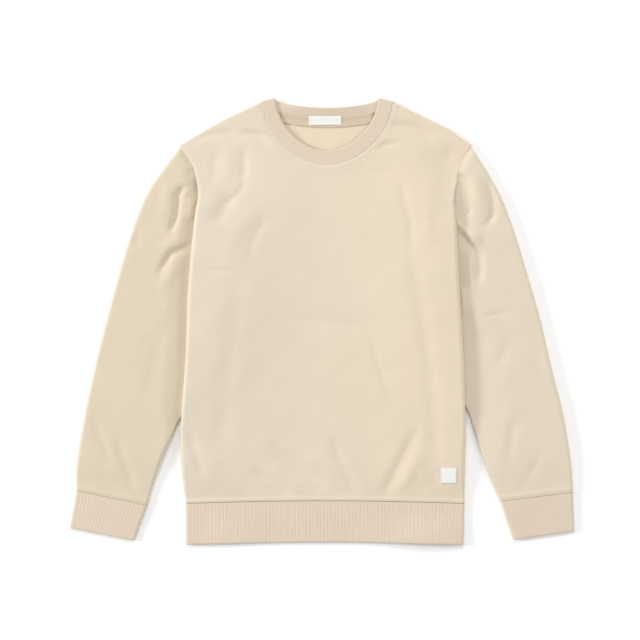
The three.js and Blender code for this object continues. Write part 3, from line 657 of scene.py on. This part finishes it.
def frontTop(x, y, detailed=True):
    lower = cloth["layHeight"] - cloth["seamHeight"]
    nearHem = lower * (1 - rising(y, place["hemSeam"], place["hemSeam"] + front["hemDip"]))
    nearShoulder = lower * rising(y, *front["shoulderDips"])
    height = cloth["layHeight"] + tuckRelief(x, y) - nearHem - nearShoulder
    if not detailed:
        return height
    aboveHem = y - place["hemSeam"] - hemBow(x)
    atNeck = np.maximum(fromNeckline(x, y) - front["edgeRound"], 0)
    height = height + foldHeight(front["folds"], x, y) + unevenness(x, y, front["uneven"])
    height = height + front["hemPuff"] * np.exp(-((aboveHem - 3) / 2.4) ** 2)
    return height + front["neckPuff"] * np.exp(-((atNeck - 3) / 3) ** 2)


def bodyUnder(x, y):    # underside of the folded side: on the floor, or on the sleeve beneath
    over = np.where(x < neckline["x"], hiddenX["left"](y) - x, x - hiddenX["right"](y))
    return (cloth["hiddenSleeve"] + 2 * cloth["layGap"]) * rising(over, -30, -9)


def sideFold(side, y, top):
    folded = 1 - rising(y, *front["foldOpens"])
    x = edgeX[side](y)
    radius = np.maximum((top - bodyUnder(x, y)) / 2, cloth["wall"] + 0.5)
    toSeam = np.maximum(np.abs(seamX[side](y) - x) - radius - cloth["seamGap"] / 2, 1)
    angle = np.radians(mix(front["armholeAngle"], 180, folded))
    return {"radius": radius, "angle": angle, "end": mix(1, toSeam, folded), "folded": folded}


def edgeWay(side, curve, v, folded):
    way = sideways(curve, v, turnOf[side])
    way = mix(way, np.array([turnOf[side], 0.0]), np.asarray(folded)[..., None])
    return way / np.linalg.norm(way, axis=-1, keepdims=True)


def frontPatch():
    edges = {}
    for side in sides:
        outline = curveThrough(bodyEdge[side])
        v = np.linspace(0, 1, 260)
        p = outline(v)
        fold = sideFold(side, p[:, 1], frontTop(p[:, 0], p[:, 1], False))
        reach = fold["radius"] * np.sin(np.minimum(fold["angle"], np.pi / 2))
        edges[side] = p - edgeWay(side, outline, v, fold["folded"]) * reach[:, None]
    arc = neckPoints(neckline, np.linspace(0.5, 0, 60), front["neckGap"])
    arc[0, 1] -= 4
    arc[-1, 1] -= 4
    left = [(x + 1.5, up - 4) for x, up in shoulderLine["left"]]
    right = [(x - 1.5, up - 4) for x, up in shoulderLine["right"]]
    top = np.vstack([edges["left"][-1:], left, arc, right, edges["right"][-1:]])
    across = np.linspace(0, 1, 80)[:, None]
    hem = mix(edges["left"][0], edges["right"][0], across)
    hem[:, 1] += hemBow(hem[:, 0])
    return patchOf(hem, top, edges["left"], edges["right"])


def frontSkin(patch, us, vs, inset):
    topFine = 4
    count = front["rollSteps"] + front["underSteps"]
    u = np.concatenate([np.zeros(count), us, np.ones(count)])[None, :]
    v = np.concatenate([vs, np.ones(topFine + 2)])[:, None]
    u, v = np.broadcast_arrays(u, v)
    p = patchPoints(patch, u, v)
    top = frontTop(p[..., 0], p[..., 1])
    z = top - inset
    for side in sides:
        columns = range(count) if side == "left" else range(u.shape[1] - count, u.shape[1])
        for k in columns:
            out = count - k if side == "left" else k - (u.shape[1] - count) + 1
            y = p[:, k, 1].copy()
            fold = sideFold(side, y, top[:, k])
            radius = fold["radius"] - inset
            turned = fold["angle"] * min(out / front["rollSteps"], 1)
            along = max(out - front["rollSteps"], 0) / front["underSteps"]
            reach = radius * np.sin(turned) + fold["end"] * along * np.cos(turned)
            drop = radius * (1 - np.cos(turned)) + fold["end"] * along * np.sin(turned)
            curve = patch["start"] if side == "left" else patch["end"]
            before = p[:, k, 0].copy()
            p[:, k] += edgeWay(side, curve, v[:, k], fold["folded"]) * reach[:, None]
            p[:, k, 1] += (hemBow(p[:, k, 0]) - hemBow(before)) * (1 - rising(v[:, k], 0, 0.12))
            lower = bodyUnder(p[:, k, 0], y) - bodyUnder(edgeX[side](y), y)
            z[:, k] += (fold["folded"] * lower if along > 0 else 0) - drop
    atNeck = rising(u[0], 0.21, 0.26) * (1 - rising(u[0], 0.74, 0.79))
    angle = np.radians(mix(78, 30, atNeck))
    for k in range(topFine + 2):
        row = len(vs) + k
        turned = angle * min((k + 1) / topFine, 1)
        along = max(k + 1 - topFine, 0) / 2
        radius = front["edgeRound"] - inset
        reach = radius * np.sin(turned) + along * np.cos(turned)
        drop = radius * (1 - np.cos(turned)) + along * np.sin(turned)
        p[row] += sideways(patch["top"], u[row], -1) * reach[:, None]
        z[row] -= drop
    return np.dstack([p, np.maximum(z, inset)])


def makeFront():
    patch = frontPatch()
    us = graded(425, front["fine"], front["coarse"], 9, 9)
    vs = graded(545, front["fine"], front["coarse"], 12, 12)
    outer = frontSkin(patch, us, vs, 0.0)
    inner = frontSkin(patch, us, vs, cloth["wall"])
    rows, cols = every(outer.shape[0], 3), every(outer.shape[1], 3)
    points, faces = wallMesh(outer, inner[rows][:, cols], rows, cols, False)
    piece = addPiece("frontPanel", points, faces, finish["body"], ["front_panel"], 60)


makeFront()
print("front made")


# Back, flat on the floor, with the inside of the cloth showing at the neck

back = {
    "folds": [
        crease(8, 0.7, (-8, 290), (-30, 262)),
        crease(9, 0.6, (30, 284), (10, 250)),
        crease(7, 0.6, (-48, 300), (-38, 280)),
    ],
}


def makeBack():
    lines = {}
    up = np.linspace(place["hemSeam"], place["shoulder"], 200)
    for side in sides:
        sewn = mix(cloth["seamGap"], 5 * cloth["seamGap"], rising(up, 0, 60))
        lines[side] = np.stack([seamX[side](up) - turnOf[side] * sewn, up], -1)
    arc = neckPoints(neckline, np.linspace(0.5, 1, 80), 1.3 * cloth["seamGap"]) - [0, 0.6]
    left = [(x, y - 0.6) for x, y in shoulderLine["left"]]
    right = [(x, y - 0.6) for x, y in shoulderLine["right"]]
    top = np.vstack([lines["left"][-1:], left, arc, right, lines["right"][-1:]])
    hem = mix(lines["left"][0], lines["right"][0], np.linspace(0, 1, 80)[:, None])
    hem[:, 1] += hemBow(hem[:, 0])
    patch = patchOf(hem, top, lines["left"], lines["right"])
    p = patchPoints(patch, np.linspace(0, 1, 150)[None, :], graded(600, 2.4, 4.5, 0, 90)[:, None])
    relief = np.maximum(foldHeight(back["folds"], p[..., 0], p[..., 1]), 0)
    outer = np.dstack([p, cloth["wall"] + relief])
    inner = np.dstack([p, np.zeros(p.shape[:2])])
    rows, cols = every(p.shape[0], 6), every(p.shape[1], 6)
    points, faces = wallMesh(outer, inner[rows][:, cols], rows, cols, False)
    piece = addPiece("backPanel", points, faces, finish["inside"], ["back_panel"])


makeBack()
print("back made")


# Sleeves: flattened tubes that run down beneath the sides of the body

sleeve = {
    "height": 10.5,
    "lowest": 4.9,
    "seamLevel": 6.8,      # it tucks under the front along the armhole
    "under": 2.2,          # and reaches this far beneath it
    "shoulderUp": 1.3,
    "valley": {            # how far from the body it stays low, as (width, up) points
        "left": [(24, -200), (26, -150), (34, -90), (34, -20), (31, 40), (26, 100), (22, 170), (22, 267)],
        "right": [(54, -200), (64, -150), (68, -89), (52, -28), (23, 33), (22, 95), (30, 170), (24, 267)],
    },
    "joins": (200, 228),   # it comes up to the armhole seam over this stretch
    "cuffDips": (-276, -200),
    "across": 76,
    "beneath": 22,
    "round": 8,
    "uneven": 0.22,
    "cuffPuff": 1.0,
    "left": [
        crease(5, -5.0, (-203, 207), (-214, 199), (-219, 190), (-219.5, 178), (-222, 158), (-232, 132),
               fade=0.2),
        crease(10, 2.8, (-196, 192), (-197, 172), (-201, 150)),
        crease(7, -1.6, (-203, 232), (-200, 216)),
        crease(9, 1.4, (-234, 212), (-236, 182), (-242, 150)),
        crease(5.5, -4.6, (-180, 114), (-208, 110), (-227, 103), (-238, 89), (-250, 66), fade=0.3),
        crease(8, 1.5, (-206, 124), (-228, 120), (-246, 104)),
        crease(8, 1.2, (-208, 88), (-228, 74), (-246, 40)),
        crease(6, -0.9, (-277, 146), (-282, 110)),
        crease(3.5, -0.9, (-276, -16), (-256, -32), (-236, -50), fade=0.4),
        crease(8, -1.4, (-352, -134), (-334, -180), (-316, -226), fade=0.45),
        crease(7, -1.7, (-314, -174), (-296, -222), (-282, -262)),
        crease(4, -1.0, (-346, -228), (-330, -242), (-308, -256), fade=0.45),
        crease(12, -1.0, (-228, 20), (-252, -60), (-268, -120)),
    ],
    "right": [
        crease(8, -7.4, (210, 226), (214, 202), (217, 180), (222, 160), fade=0.16),
        crease(9, 2.4, (224, 232), (234, 204), (241, 180), (245, 160), fade=0.4),
        crease(5.5, -3.6, (245, 222), (254, 205), (259, 182), (259, 161), (249, 147), (238, 148),
               fade=0.3),
        crease(6, 3.0, (192, 160), (220, 137), (233, 127), (243, 107), fade=0.3),
        crease(6.5, -5.6, (190, 136), (222, 118), (236, 100), (239, 52), fade=0.25),
        crease(3.5, -1.2, (236, 4), (262, 10), (292, 14), fade=0.4),
        crease(10, 3.0, (210, 56), (214, 34), (218, 8)),
        crease(8, -1.0, (288, -22), (275, -52), (260, -80), fade=0.45),
        crease(8, -1.2, (294, -139), (288, -180), (282, -224)),
        crease(7, -1.0, (342, -186), (320, -226), (298, -264), fade=0.45),
        crease(12, -0.8, (322, 30), (330, -60), (342, -120)),
    ],
}


valleyWidth = {side: columnOf(sleeve["valley"][side]) for side in sides}


def sleeveTop(side, x, y):
    line = sleeveLine[side]
    outward = turnOf[side] * (x - edgeX[side](np.minimum(y, place["shoulder"])))
    slope = clamp(outward / valleyWidth[side](y))
    beside = mix(sleeve["lowest"], sleeve["height"], mix(slope, rising(slope, 0, 1), 0.6))
    atSeam = mix(sleeve["seamLevel"], sleeve["height"], rising(outward, 0, 13))
    joined = rising(y, *sleeve["joins"])
    nearCuff = (sleeve["height"] - cloth["seamHeight"]) * (1 - rising(y, *sleeve["cuffDips"]))
    cuffA, cuffB = np.array(line["outer"][-1]), np.array(line["inner"][-1])
    way = (cuffB - cuffA) / np.linalg.norm(cuffB - cuffA)
    aboveCuff = np.abs((x - cuffA[0]) * way[1] - (y - cuffA[1]) * way[0])
    shown = rising(outward, -4, 3)
    relief = (foldHeight(sleeve[side], x, y) + unevenness(x + 40, y, sleeve["uneven"])) * shown
    puff = sleeve["cuffPuff"] * np.exp(-((aboveCuff - 5) / 4) ** 2)
    height = mix(beside, atSeam, joined) - nearCuff * rising(outward, 0, 30) + relief + puff
    return np.maximum(height, 2 * cloth["wall"] + 0.3)


def tubeStations(across, beneath, round):
    roll = np.linspace(0, 1, round + 1)[1:-1]
    parts = [(t, 0) for t in np.linspace(0, 1, across + 1)]
    parts += [(1, math.pi * t) for t in roll]
    parts += [(1 - t, math.pi) for t in np.linspace(0, 1, beneath + 1)]
    parts += [(0, math.pi * (1 + t)) for t in roll]
    return np.array(parts)


def tubeSkin(patch, topAt, stations, rows, inset, rib=None):
    u, turn = stations[:, 0][None, :], stations[:, 1][None, :]
    v = np.asarray(rows)[:, None]
    inset = np.broadcast_to(np.asarray(inset, float), (len(rows),))[:, None]
    left, right = patchPoints(patch, 0, v), patchPoints(patch, 1, v)
    width = np.linalg.norm(right - left, axis=-1)
    drawLeft = topAt(left[..., 0], left[..., 1]) / 2 / width
    drawRight = topAt(right[..., 0], right[..., 1]) / 2 / width
    share = mix(drawLeft, 1 - drawRight, u)
    p = patchPoints(patch, share, v)
    half = topAt(p[..., 0], p[..., 1]) / 2
    way = patchPoints(patch, clamp(share + 0.01), v) - patchPoints(patch, clamp(share - 0.01), v)
    way /= np.linalg.norm(way, axis=-1, keepdims=True)
    p = p + way * ((half - inset) * np.sin(turn))[..., None]
    raised = rib(u, turn, v) if rib else 0
    return np.dstack([p, half + (half - inset + raised) * np.cos(turn)])


def makeSleeve(side):
    line = sleeveLine[side]
    armhole = [(x - turnOf[side] * sleeve["under"], up) for x, up in line["armhole"]]
    armhole[0] = (armhole[0][0], armhole[0][1] + sleeve["shoulderUp"])
    outer = np.vstack([armhole[:1], catmull(line["outer"])])
    inner = np.vstack([armhole[-1:], catmull(line["inner"])])
    patch = patchOf(curveThrough(armhole), [line["outer"][-1], line["inner"][-1]], outer, inner)
    stations = tubeStations(sleeve["across"], sleeve["beneath"], sleeve["round"])
    rows = graded(540, 1.2, 2.9, 10, 14)
    topAt = lambda x, y: sleeveTop(side, x, y)
    outer = tubeSkin(patch, topAt, stations, rows, 0)
    cols, kept = every(len(stations), 3), every(len(rows), 3)
    inner = tubeSkin(patch, topAt, stations[cols], rows[kept], cloth["wall"])
    points, faces = wallMesh(outer, inner, kept, cols, True)
    piece = addPiece(side + "Sleeve", points, faces, finish[side + "Sleeve"], [side + "_sleeve"])


for side in sides:
    makeSleeve(side)
print("sleeves made")


# Ribbing of the hem and the cuffs

ribbing = {
    "hemPitch": 5.6,
    "cuffPitch": 5.2,
    "neckPitch": 5.0,
    "rise": 0.30,
    "perRib": 8,
    "edgeRound": 2.4,      # the folded edge is rounded over this much
    "edgeHeight": 6.1,
    "hemHeight": 63,
    "hemWidth": 424,
    "hemLifts": [{"x": 158, "width": 52, "rise": 7.0}, {"x": -150, "width": 40, "rise": 1.6}],
}


def ribbedRows(length):
    edge = ribbing["edgeRound"] / length
    flat = np.concatenate([[0, 0.8, 1.8, 3.2], np.linspace(6, length - 5, 14)]) / length
    turn = np.radians([0, 22, 45, 67, 90])
    rows = np.concatenate([flat, 1 - edge + edge * np.sin(turn)])
    inset = np.concatenate([np.zeros(len(flat)), cloth["ribWall"] / 2 * (1 - np.cos(turn))])
    return rows, inset


def offFloor(lifts, x):    # how far the free edge curls up from the floor
    return sum(lift["rise"] * np.exp(-((x - lift["x"]) / lift["width"]) ** 2) for lift in lifts)


def makeRibbedTube(name, node, patch, length, width, pitch, material, lifts=()):
    ribs = round(width / pitch)
    stations = tubeStations(ribs * ribbing["perRib"], ribs * 4, 8)
    rows, inset = ribbedRows(length)
    seamA, seamB = patch["bottom"](np.array(0.0)), patch["bottom"](np.array(1.0))
    seamWay = (seamB - seamA) / np.linalg.norm(seamB - seamA)

    def distanceAlong(x, y):
        return np.abs((x - seamA[0]) * seamWay[1] - (y - seamA[1]) * seamWay[0])

    def rib(u, turn, v):
        wave = (0.5 - 0.5 * np.cos(2 * np.pi * u * ribs)) ** 0.7
        near = 1 - rising(v * length, length - 3, length)
        start = rising(v * length, 0, 4)
        along = 2 * np.pi * u * ribs
        patchy = 0.75 + 0.3 * np.sin(0.13 * along + 2.2 * v) + 0.25 * np.sin(0.41 * along - 3.1 * v)
        return ribbing["rise"] * (wave - 0.5) * patchy * near * (0.35 + 0.65 * start) * np.abs(np.cos(turn))

    def topAt(x, y):
        toEdge = rising(length - distanceAlong(x, y), 0, length)
        return mix(ribbing["edgeHeight"], cloth["seamHeight"], toEdge) + unevenness(x, y * 0.4, 0.14)

    outer = tubeSkin(patch, topAt, stations, rows, inset, rib)
    cols = every(len(stations), 6)
    inner = tubeSkin(patch, topAt, stations[cols], rows, cloth["ribWall"] - inset)
    for skin in (outer, inner):
        skin[..., 2] += offFloor(lifts, skin[..., 0]) * rising(rows, 0.2, 1)[:, None]
    points, faces = wallMesh(outer, inner, range(len(rows)), cols, True)
    piece = addPiece(name, points, faces, material, [node], 70)


def makeHem():
    left, right = bodyEdge["left"][0][0], bodyEdge["right"][0][0]
    seam = place["hemSeam"] - front["hemGap"]
    corners = np.array([(left, seam), (right, seam), (place["hemLeft"], place["hemBottom"]),
                        (place["hemRight"], place["hemBottom"])])
    across = np.linspace(0, 1, 80)[:, None]
    lines = []
    for a, b in ((0, 1), (2, 3)):
        line = mix(corners[a], corners[b], across)
        line[:, 1] += hemBow(line[:, 0])
        lines.append(line)
    patch = patchOf(lines[0], lines[1], corners[[0, 2]], corners[[1, 3]])
    makeRibbedTube("hemRib", "hem_rib", patch, ribbing["hemHeight"], ribbing["hemWidth"],
                   ribbing["hemPitch"], finish["rib"], ribbing["hemLifts"])


def makeCuff(side):
    line = sleeveLine[side]
    a, b = np.array(line["outer"][-1]), np.array(line["inner"][-1])
    c, d = np.array(line["cuffOuter"]), np.array(line["cuffInner"])
    away = (c - a) / np.linalg.norm(c - a) * cloth["seamGap"]
    a, b = a + away, b + away
    patch = patchOf([a, b], [c, d], [a, c], [b, d])
    length, width = np.linalg.norm(c - a), np.linalg.norm(b - a)
    makeRibbedTube(side + "Cuff", side + "_cuff", patch, length, width, ribbing["cuffPitch"],
                   finish[side + "Cuff"])


makeHem()
for side in sides:
    makeCuff(side)
print("hem and cuffs made")


# Collar: a ring of ribbing that turns over at its two folds

collar = {
    "frontSeam": 6.0,
    "frontFree": 5.9,
    "backSeam": 2.3,
    "backFree": 6.0,
    "roll": 0.014,
    "ribRise": 0.2,
    "under": 0.13,         # the seam edge goes on under the front, as a share of the width
    "underDrop": 2.4,
}


def collarPoints(turn, s):
    turn, s = np.broadcast_arrays(turn, s)
    round = np.mod(turn, 1)
    roll = collar["roll"]
    toBack = (rising(round, 0.5 - roll / 2, 0.5 + roll) * (1 - rising(round, 1 - roll, 1 + roll / 2))
              + (1 - rising(round, -roll, roll / 2)) * (round < 0.25))
    p = mix(neckPoints(neckline, round), neckPoints(neckEdge, round), s[..., None])
    backFree = mix(collar["backSeam"], collar["backFree"], rising(np.sin(-2 * np.pi * round), 0.45, 0.95))
    z = mix(mix(collar["frontSeam"], collar["frontFree"], s), mix(collar["backSeam"], backFree, s), toBack)
    z = z - collar["underDrop"] * rising(-s, 0.015, collar["under"]) * (1 - toBack)
    return np.dstack([p, z]) if p.ndim == 3 else np.column_stack([p, z])


def collarSkin(turns, widths, lift):
    t, s = np.broadcast_arrays(turns[None, :], widths[:, None])
    step = 0.0015
    along = collarPoints(t + step, s) - collarPoints(t - step, s)
    across = collarPoints(t, np.ones_like(s)) - collarPoints(t, np.zeros_like(s))
    normal = np.cross(across, along)
    normal /= np.linalg.norm(normal, axis=-1, keepdims=True)
    return collarPoints(t, s) + normal * lift[..., None]


def makeCollar():
    fine = np.linspace(0, 1, 1801)
    middle = collarPoints(fine, 0.5 + 0 * fine)
    run = np.concatenate([[0], np.cumsum(np.linalg.norm(np.diff(middle, axis=0), axis=1))])
    ribs = round(run[-1] / ribbing["neckPitch"])
    count = ribs * 8
    phase = np.arange(count) / count
    turns = np.interp(phase * run[-1], run, fine)
    turn = np.radians([0, 30, 60, 90])
    edge = ribbing["edgeRound"] / 22
    flat = np.concatenate([[-collar["under"], -0.06, 0, 0.04, 0.1], np.linspace(0.18, 0.88, 9)])
    widths = np.concatenate([flat, 1 - edge + edge * np.sin(turn)])
    half = cloth["ribWall"] / 2
    thick = np.concatenate([np.full(len(flat), half), half * np.cos(turn)])
    wave = (0.5 - 0.5 * np.cos(2 * np.pi * phase * ribs)) ** 0.7 - 0.5
    fade = rising(widths, 0, 0.12) * (1 - rising(widths, 0.9, 1))
    ridge = collar["ribRise"] * wave[None, :] * fade[:, None]
    outer = collarSkin(turns, widths, thick[:, None] + ridge)
    cols = every(count, 2)
    inner = collarSkin(turns[cols], widths, -thick[:, None] - ridge[:, cols])
    points, faces = wallMesh(outer, inner, range(len(widths)), cols, True)
    piece = addPiece("neckRib", points, faces, finish["collar"], ["neck_rib"], 70)


makeCollar()
print("collar made")


# Tape over the back neck seam, blank neck label and blank hem patch

trim = {
    "tapeWidth": 13.5,
    "tapeHalf": 70,
    "tapeWall": 0.8,
    "tapeClimb": 1.3,      # its top edge climbs over the neck seam
    "labelMiddle": (5, 305.5),
    "labelWidth": 50,
    "labelHeight": 13.8,
    "labelWall": 0.5,
    "patchMiddle": (192.3, -233.7),
    "patchSide": 24,
    "patchWall": 0.6,
    "patchLift": 0.35,
}


def thinPiece(name, node, p, low, wall, material):
    edge = np.ones(p.shape[:2])
    edge[[0, -1], :] = 0.55
    edge[:, [0, -1]] = 0.55
    outer = np.dstack([p, low + wall * edge])
    inner = np.dstack([p, low])
    points, faces = wallMesh(outer, inner, range(p.shape[0]), range(p.shape[1]), False)
    piece = addPiece(name, points, faces, material, [node], 70)


def rectanglePoints(middle, width, height, columns, rows, edge=0.5):
    lines = []
    for at, size, count in zip(middle, (width, height), (columns, rows)):
        inside = np.linspace(edge - size / 2, size / 2 - edge, count)
        lines.append(at + np.concatenate([[-size / 2], inside, [size / 2]]))
    return np.dstack(np.meshgrid(*lines))


def tapeLine(t, below):
    x = neckline["x"] + mix(-trim["tapeHalf"], trim["tapeHalf"], t)
    share = clamp(np.abs(x - neckline["x"]) / (neckline["halfWidth"] + cloth["seamGap"]))
    fall = (1 - share ** neckline["power"]) ** (1 / neckline["power"]) * neckline["back"]
    return np.stack([x, neckline["up"] - fall - 1.4 - below], -1)


def labelUnder(x, y):    # the label bows a little, and its top edge climbs over the neck seam
    across = clamp((x - trim["labelMiddle"][0]) / trim["labelWidth"] + 0.5)
    bow = 0.35 * np.sin(np.pi * across) ** 2
    climb = 1.5 * rising(y, trim["labelMiddle"][1] - 4, trim["labelMiddle"][1] + 6)
    return cloth["wall"] + 2 * cloth["layGap"] + trim["tapeWall"] + bow + climb


def makeTrims():
    t = np.linspace(0, 1, 110)
    rows = np.concatenate([[-2.2, -1.7, -0.6, 0.6], np.linspace(2, trim["tapeWidth"] - 1.2, 8),
                           [trim["tapeWidth"] - 0.5, trim["tapeWidth"]]])
    p = np.stack([tapeLine(t, below) for below in rows])
    climb = trim["tapeClimb"] * (1 - rising(rows, -2, 5))
    low = cloth["wall"] + cloth["layGap"] + np.broadcast_to(climb[:, None], p.shape[:2])
    thinPiece("neckTape", "neck_tape", p, low, trim["tapeWall"], finish["tape"])
    p = rectanglePoints(trim["labelMiddle"], trim["labelWidth"], trim["labelHeight"], 30, 10)
    low = labelUnder(p[..., 0], p[..., 1])
    thinPiece("neckLabel", "neck_label", p, low, trim["labelWall"], finish["label"])
    side = trim["patchSide"]
    p = rectanglePoints(trim["patchMiddle"], side, side, 22, 22)
    low = frontTop(p[..., 0], p[..., 1]) + trim["patchLift"]
    thinPiece("hemPatch", "hem_patch", p, low, trim["patchWall"], finish["label"])


makeTrims()
print("tape, label and patch made")


# Stitching

sewing = {
    "body": {"length": 2.7, "gap": 0.5, "radius": 0.22},
    "tape": {"length": 2.7, "gap": 0.5, "radius": 0.2},
    "label": {"length": 1.5, "gap": 0.35, "radius": 0.16},
    "proud": -0.08,
    "fromNeck": (6.5, 11),
    "fromArmhole": (7.0, 11.5),
    "fromPatchEdge": 1.3,
}


def stitchRun(path, heights, length, gap, radius):    # small rounded threads laid end to end along a line
    line = np.column_stack([path, heights])
    run = np.concatenate([[0], np.cumsum(np.linalg.norm(np.diff(line, axis=0), axis=1))])
    count = max(1, int(run[-1] // (length + gap)))
    starts = np.arange(count) * run[-1] / count
    along = np.array([0.0, 0.12, 0.5, 0.88, 1.0])
    thick = np.array([0.35, 0.85, 1.0, 0.85, 0.35]) * radius
    around, rings = 6, len(along)
    ring = np.arange(around) * 2 * np.pi / around
    points, faces = [], []
    for start in starts:
        middle = np.array([np.interp(start + along * length, run, line[:, k]) for k in range(3)]).T
        middle[:, 2] += radius * (0.35 + 0.5 * np.sin(np.pi * along))
        way = middle[-1] - middle[0]
        way /= np.linalg.norm(way)
        across = np.cross(way, [0, 0, 1])
        across /= np.linalg.norm(across)
        upward = np.cross(across, way)
        base = len(points)
        for centre, r in zip(middle, thick):
            for angle in ring:
                points.append(centre + r * (math.cos(angle) * across + math.sin(angle) * upward))
        for row in range(rings - 1):
            a = base + row * around
            b = a + around
            for k in range(around):
                m = (k + 1) % around
                faces.append([a + k, a + m, b + m, b + k])
        faces.append([base + k for k in reversed(range(around))])
        faces.append([b + k for k in range(around)])
    return points, faces


def addStitches(name, runs, kind):
    points, faces = [], []
    for path, heights in runs:
        more, moreFaces = stitchRun(path, heights, **sewing[kind])
        faces += [[len(points) + k for k in face] for face in moreFaces]
        points += more
    addPiece(name, np.array(points), faces, finish["thread"], (), 60)


def makeStitching():
    turns = np.linspace(0.485, 0.015, 220)
    neckRuns = []
    for away in sewing["fromNeck"]:
        path = neckPoints(neckline, turns, away)
        neckRuns.append((path, frontTop(*path.T) + sewing["proud"]))
    addStitches("neckStitches", neckRuns, "body")
    for side in sides:
        outline = curveThrough(bodyEdge[side])
        v = np.linspace(0.86, 0.985, 120)
        runs = []
        for away in sewing["fromArmhole"]:
            path = outline(v) - sideways(outline, v, turnOf[side]) * away
            runs.append((path, frontTop(*path.T) + sewing["proud"]))
        addStitches(side + "ArmholeStitches", runs, "body")
    t = np.linspace(0.01, 0.99, 120)
    tape = tapeLine(t, trim["tapeWidth"] - 1.6)
    tapeTop = np.full(len(t), cloth["wall"] + cloth["layGap"] + trim["tapeWall"])
    addStitches("tapeStitches", [(tape, tapeTop)], "tape")
    half = trim["patchSide"] / 2 - sewing["fromPatchEdge"]
    x, y = trim["patchMiddle"]
    corners = [(-1, -1), (1, -1), (1, 1), (-1, 1), (-1, -1)]
    ring = alongLine([(x + across * half, y + up * half) for across, up in corners])
    path = ring(np.linspace(0, 1, 160))
    heights = frontTop(*path.T) + trim["patchLift"] + trim["patchWall"]
    addStitches("patchStitches", [(path, heights)], "label")
    x, y = trim["labelMiddle"]
    low, high = y - trim["labelHeight"] / 2 + 0.8, y + trim["labelHeight"] / 2 - 0.8
    runs = []
    for end in (-1, 1):
        edge = x + end * (trim["labelWidth"] / 2 - 1.2)
        path = alongLine([(edge, low), (edge, high)])(np.linspace(0, 1, 20))
        runs.append((path, labelUnder(*path.T) + trim["labelWall"]))
    foot = alongLine([(x - 23, low), (x + 23, low)])(np.linspace(0, 1, 40))
    runs.append((foot, labelUnder(*foot.T) + trim["labelWall"]))
    addStitches("labelStitches", runs, "label")


makeStitching()
print("stitching made")


# Hidden layers of the tucked sides keep their own shape

for side in sides:
    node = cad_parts[side + "_side_tuck"]
    node.data.materials.clear()
    node.data.materials.append(finish["inside"])

{"cad": cadBox, "visual": [list(corner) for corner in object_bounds()]}
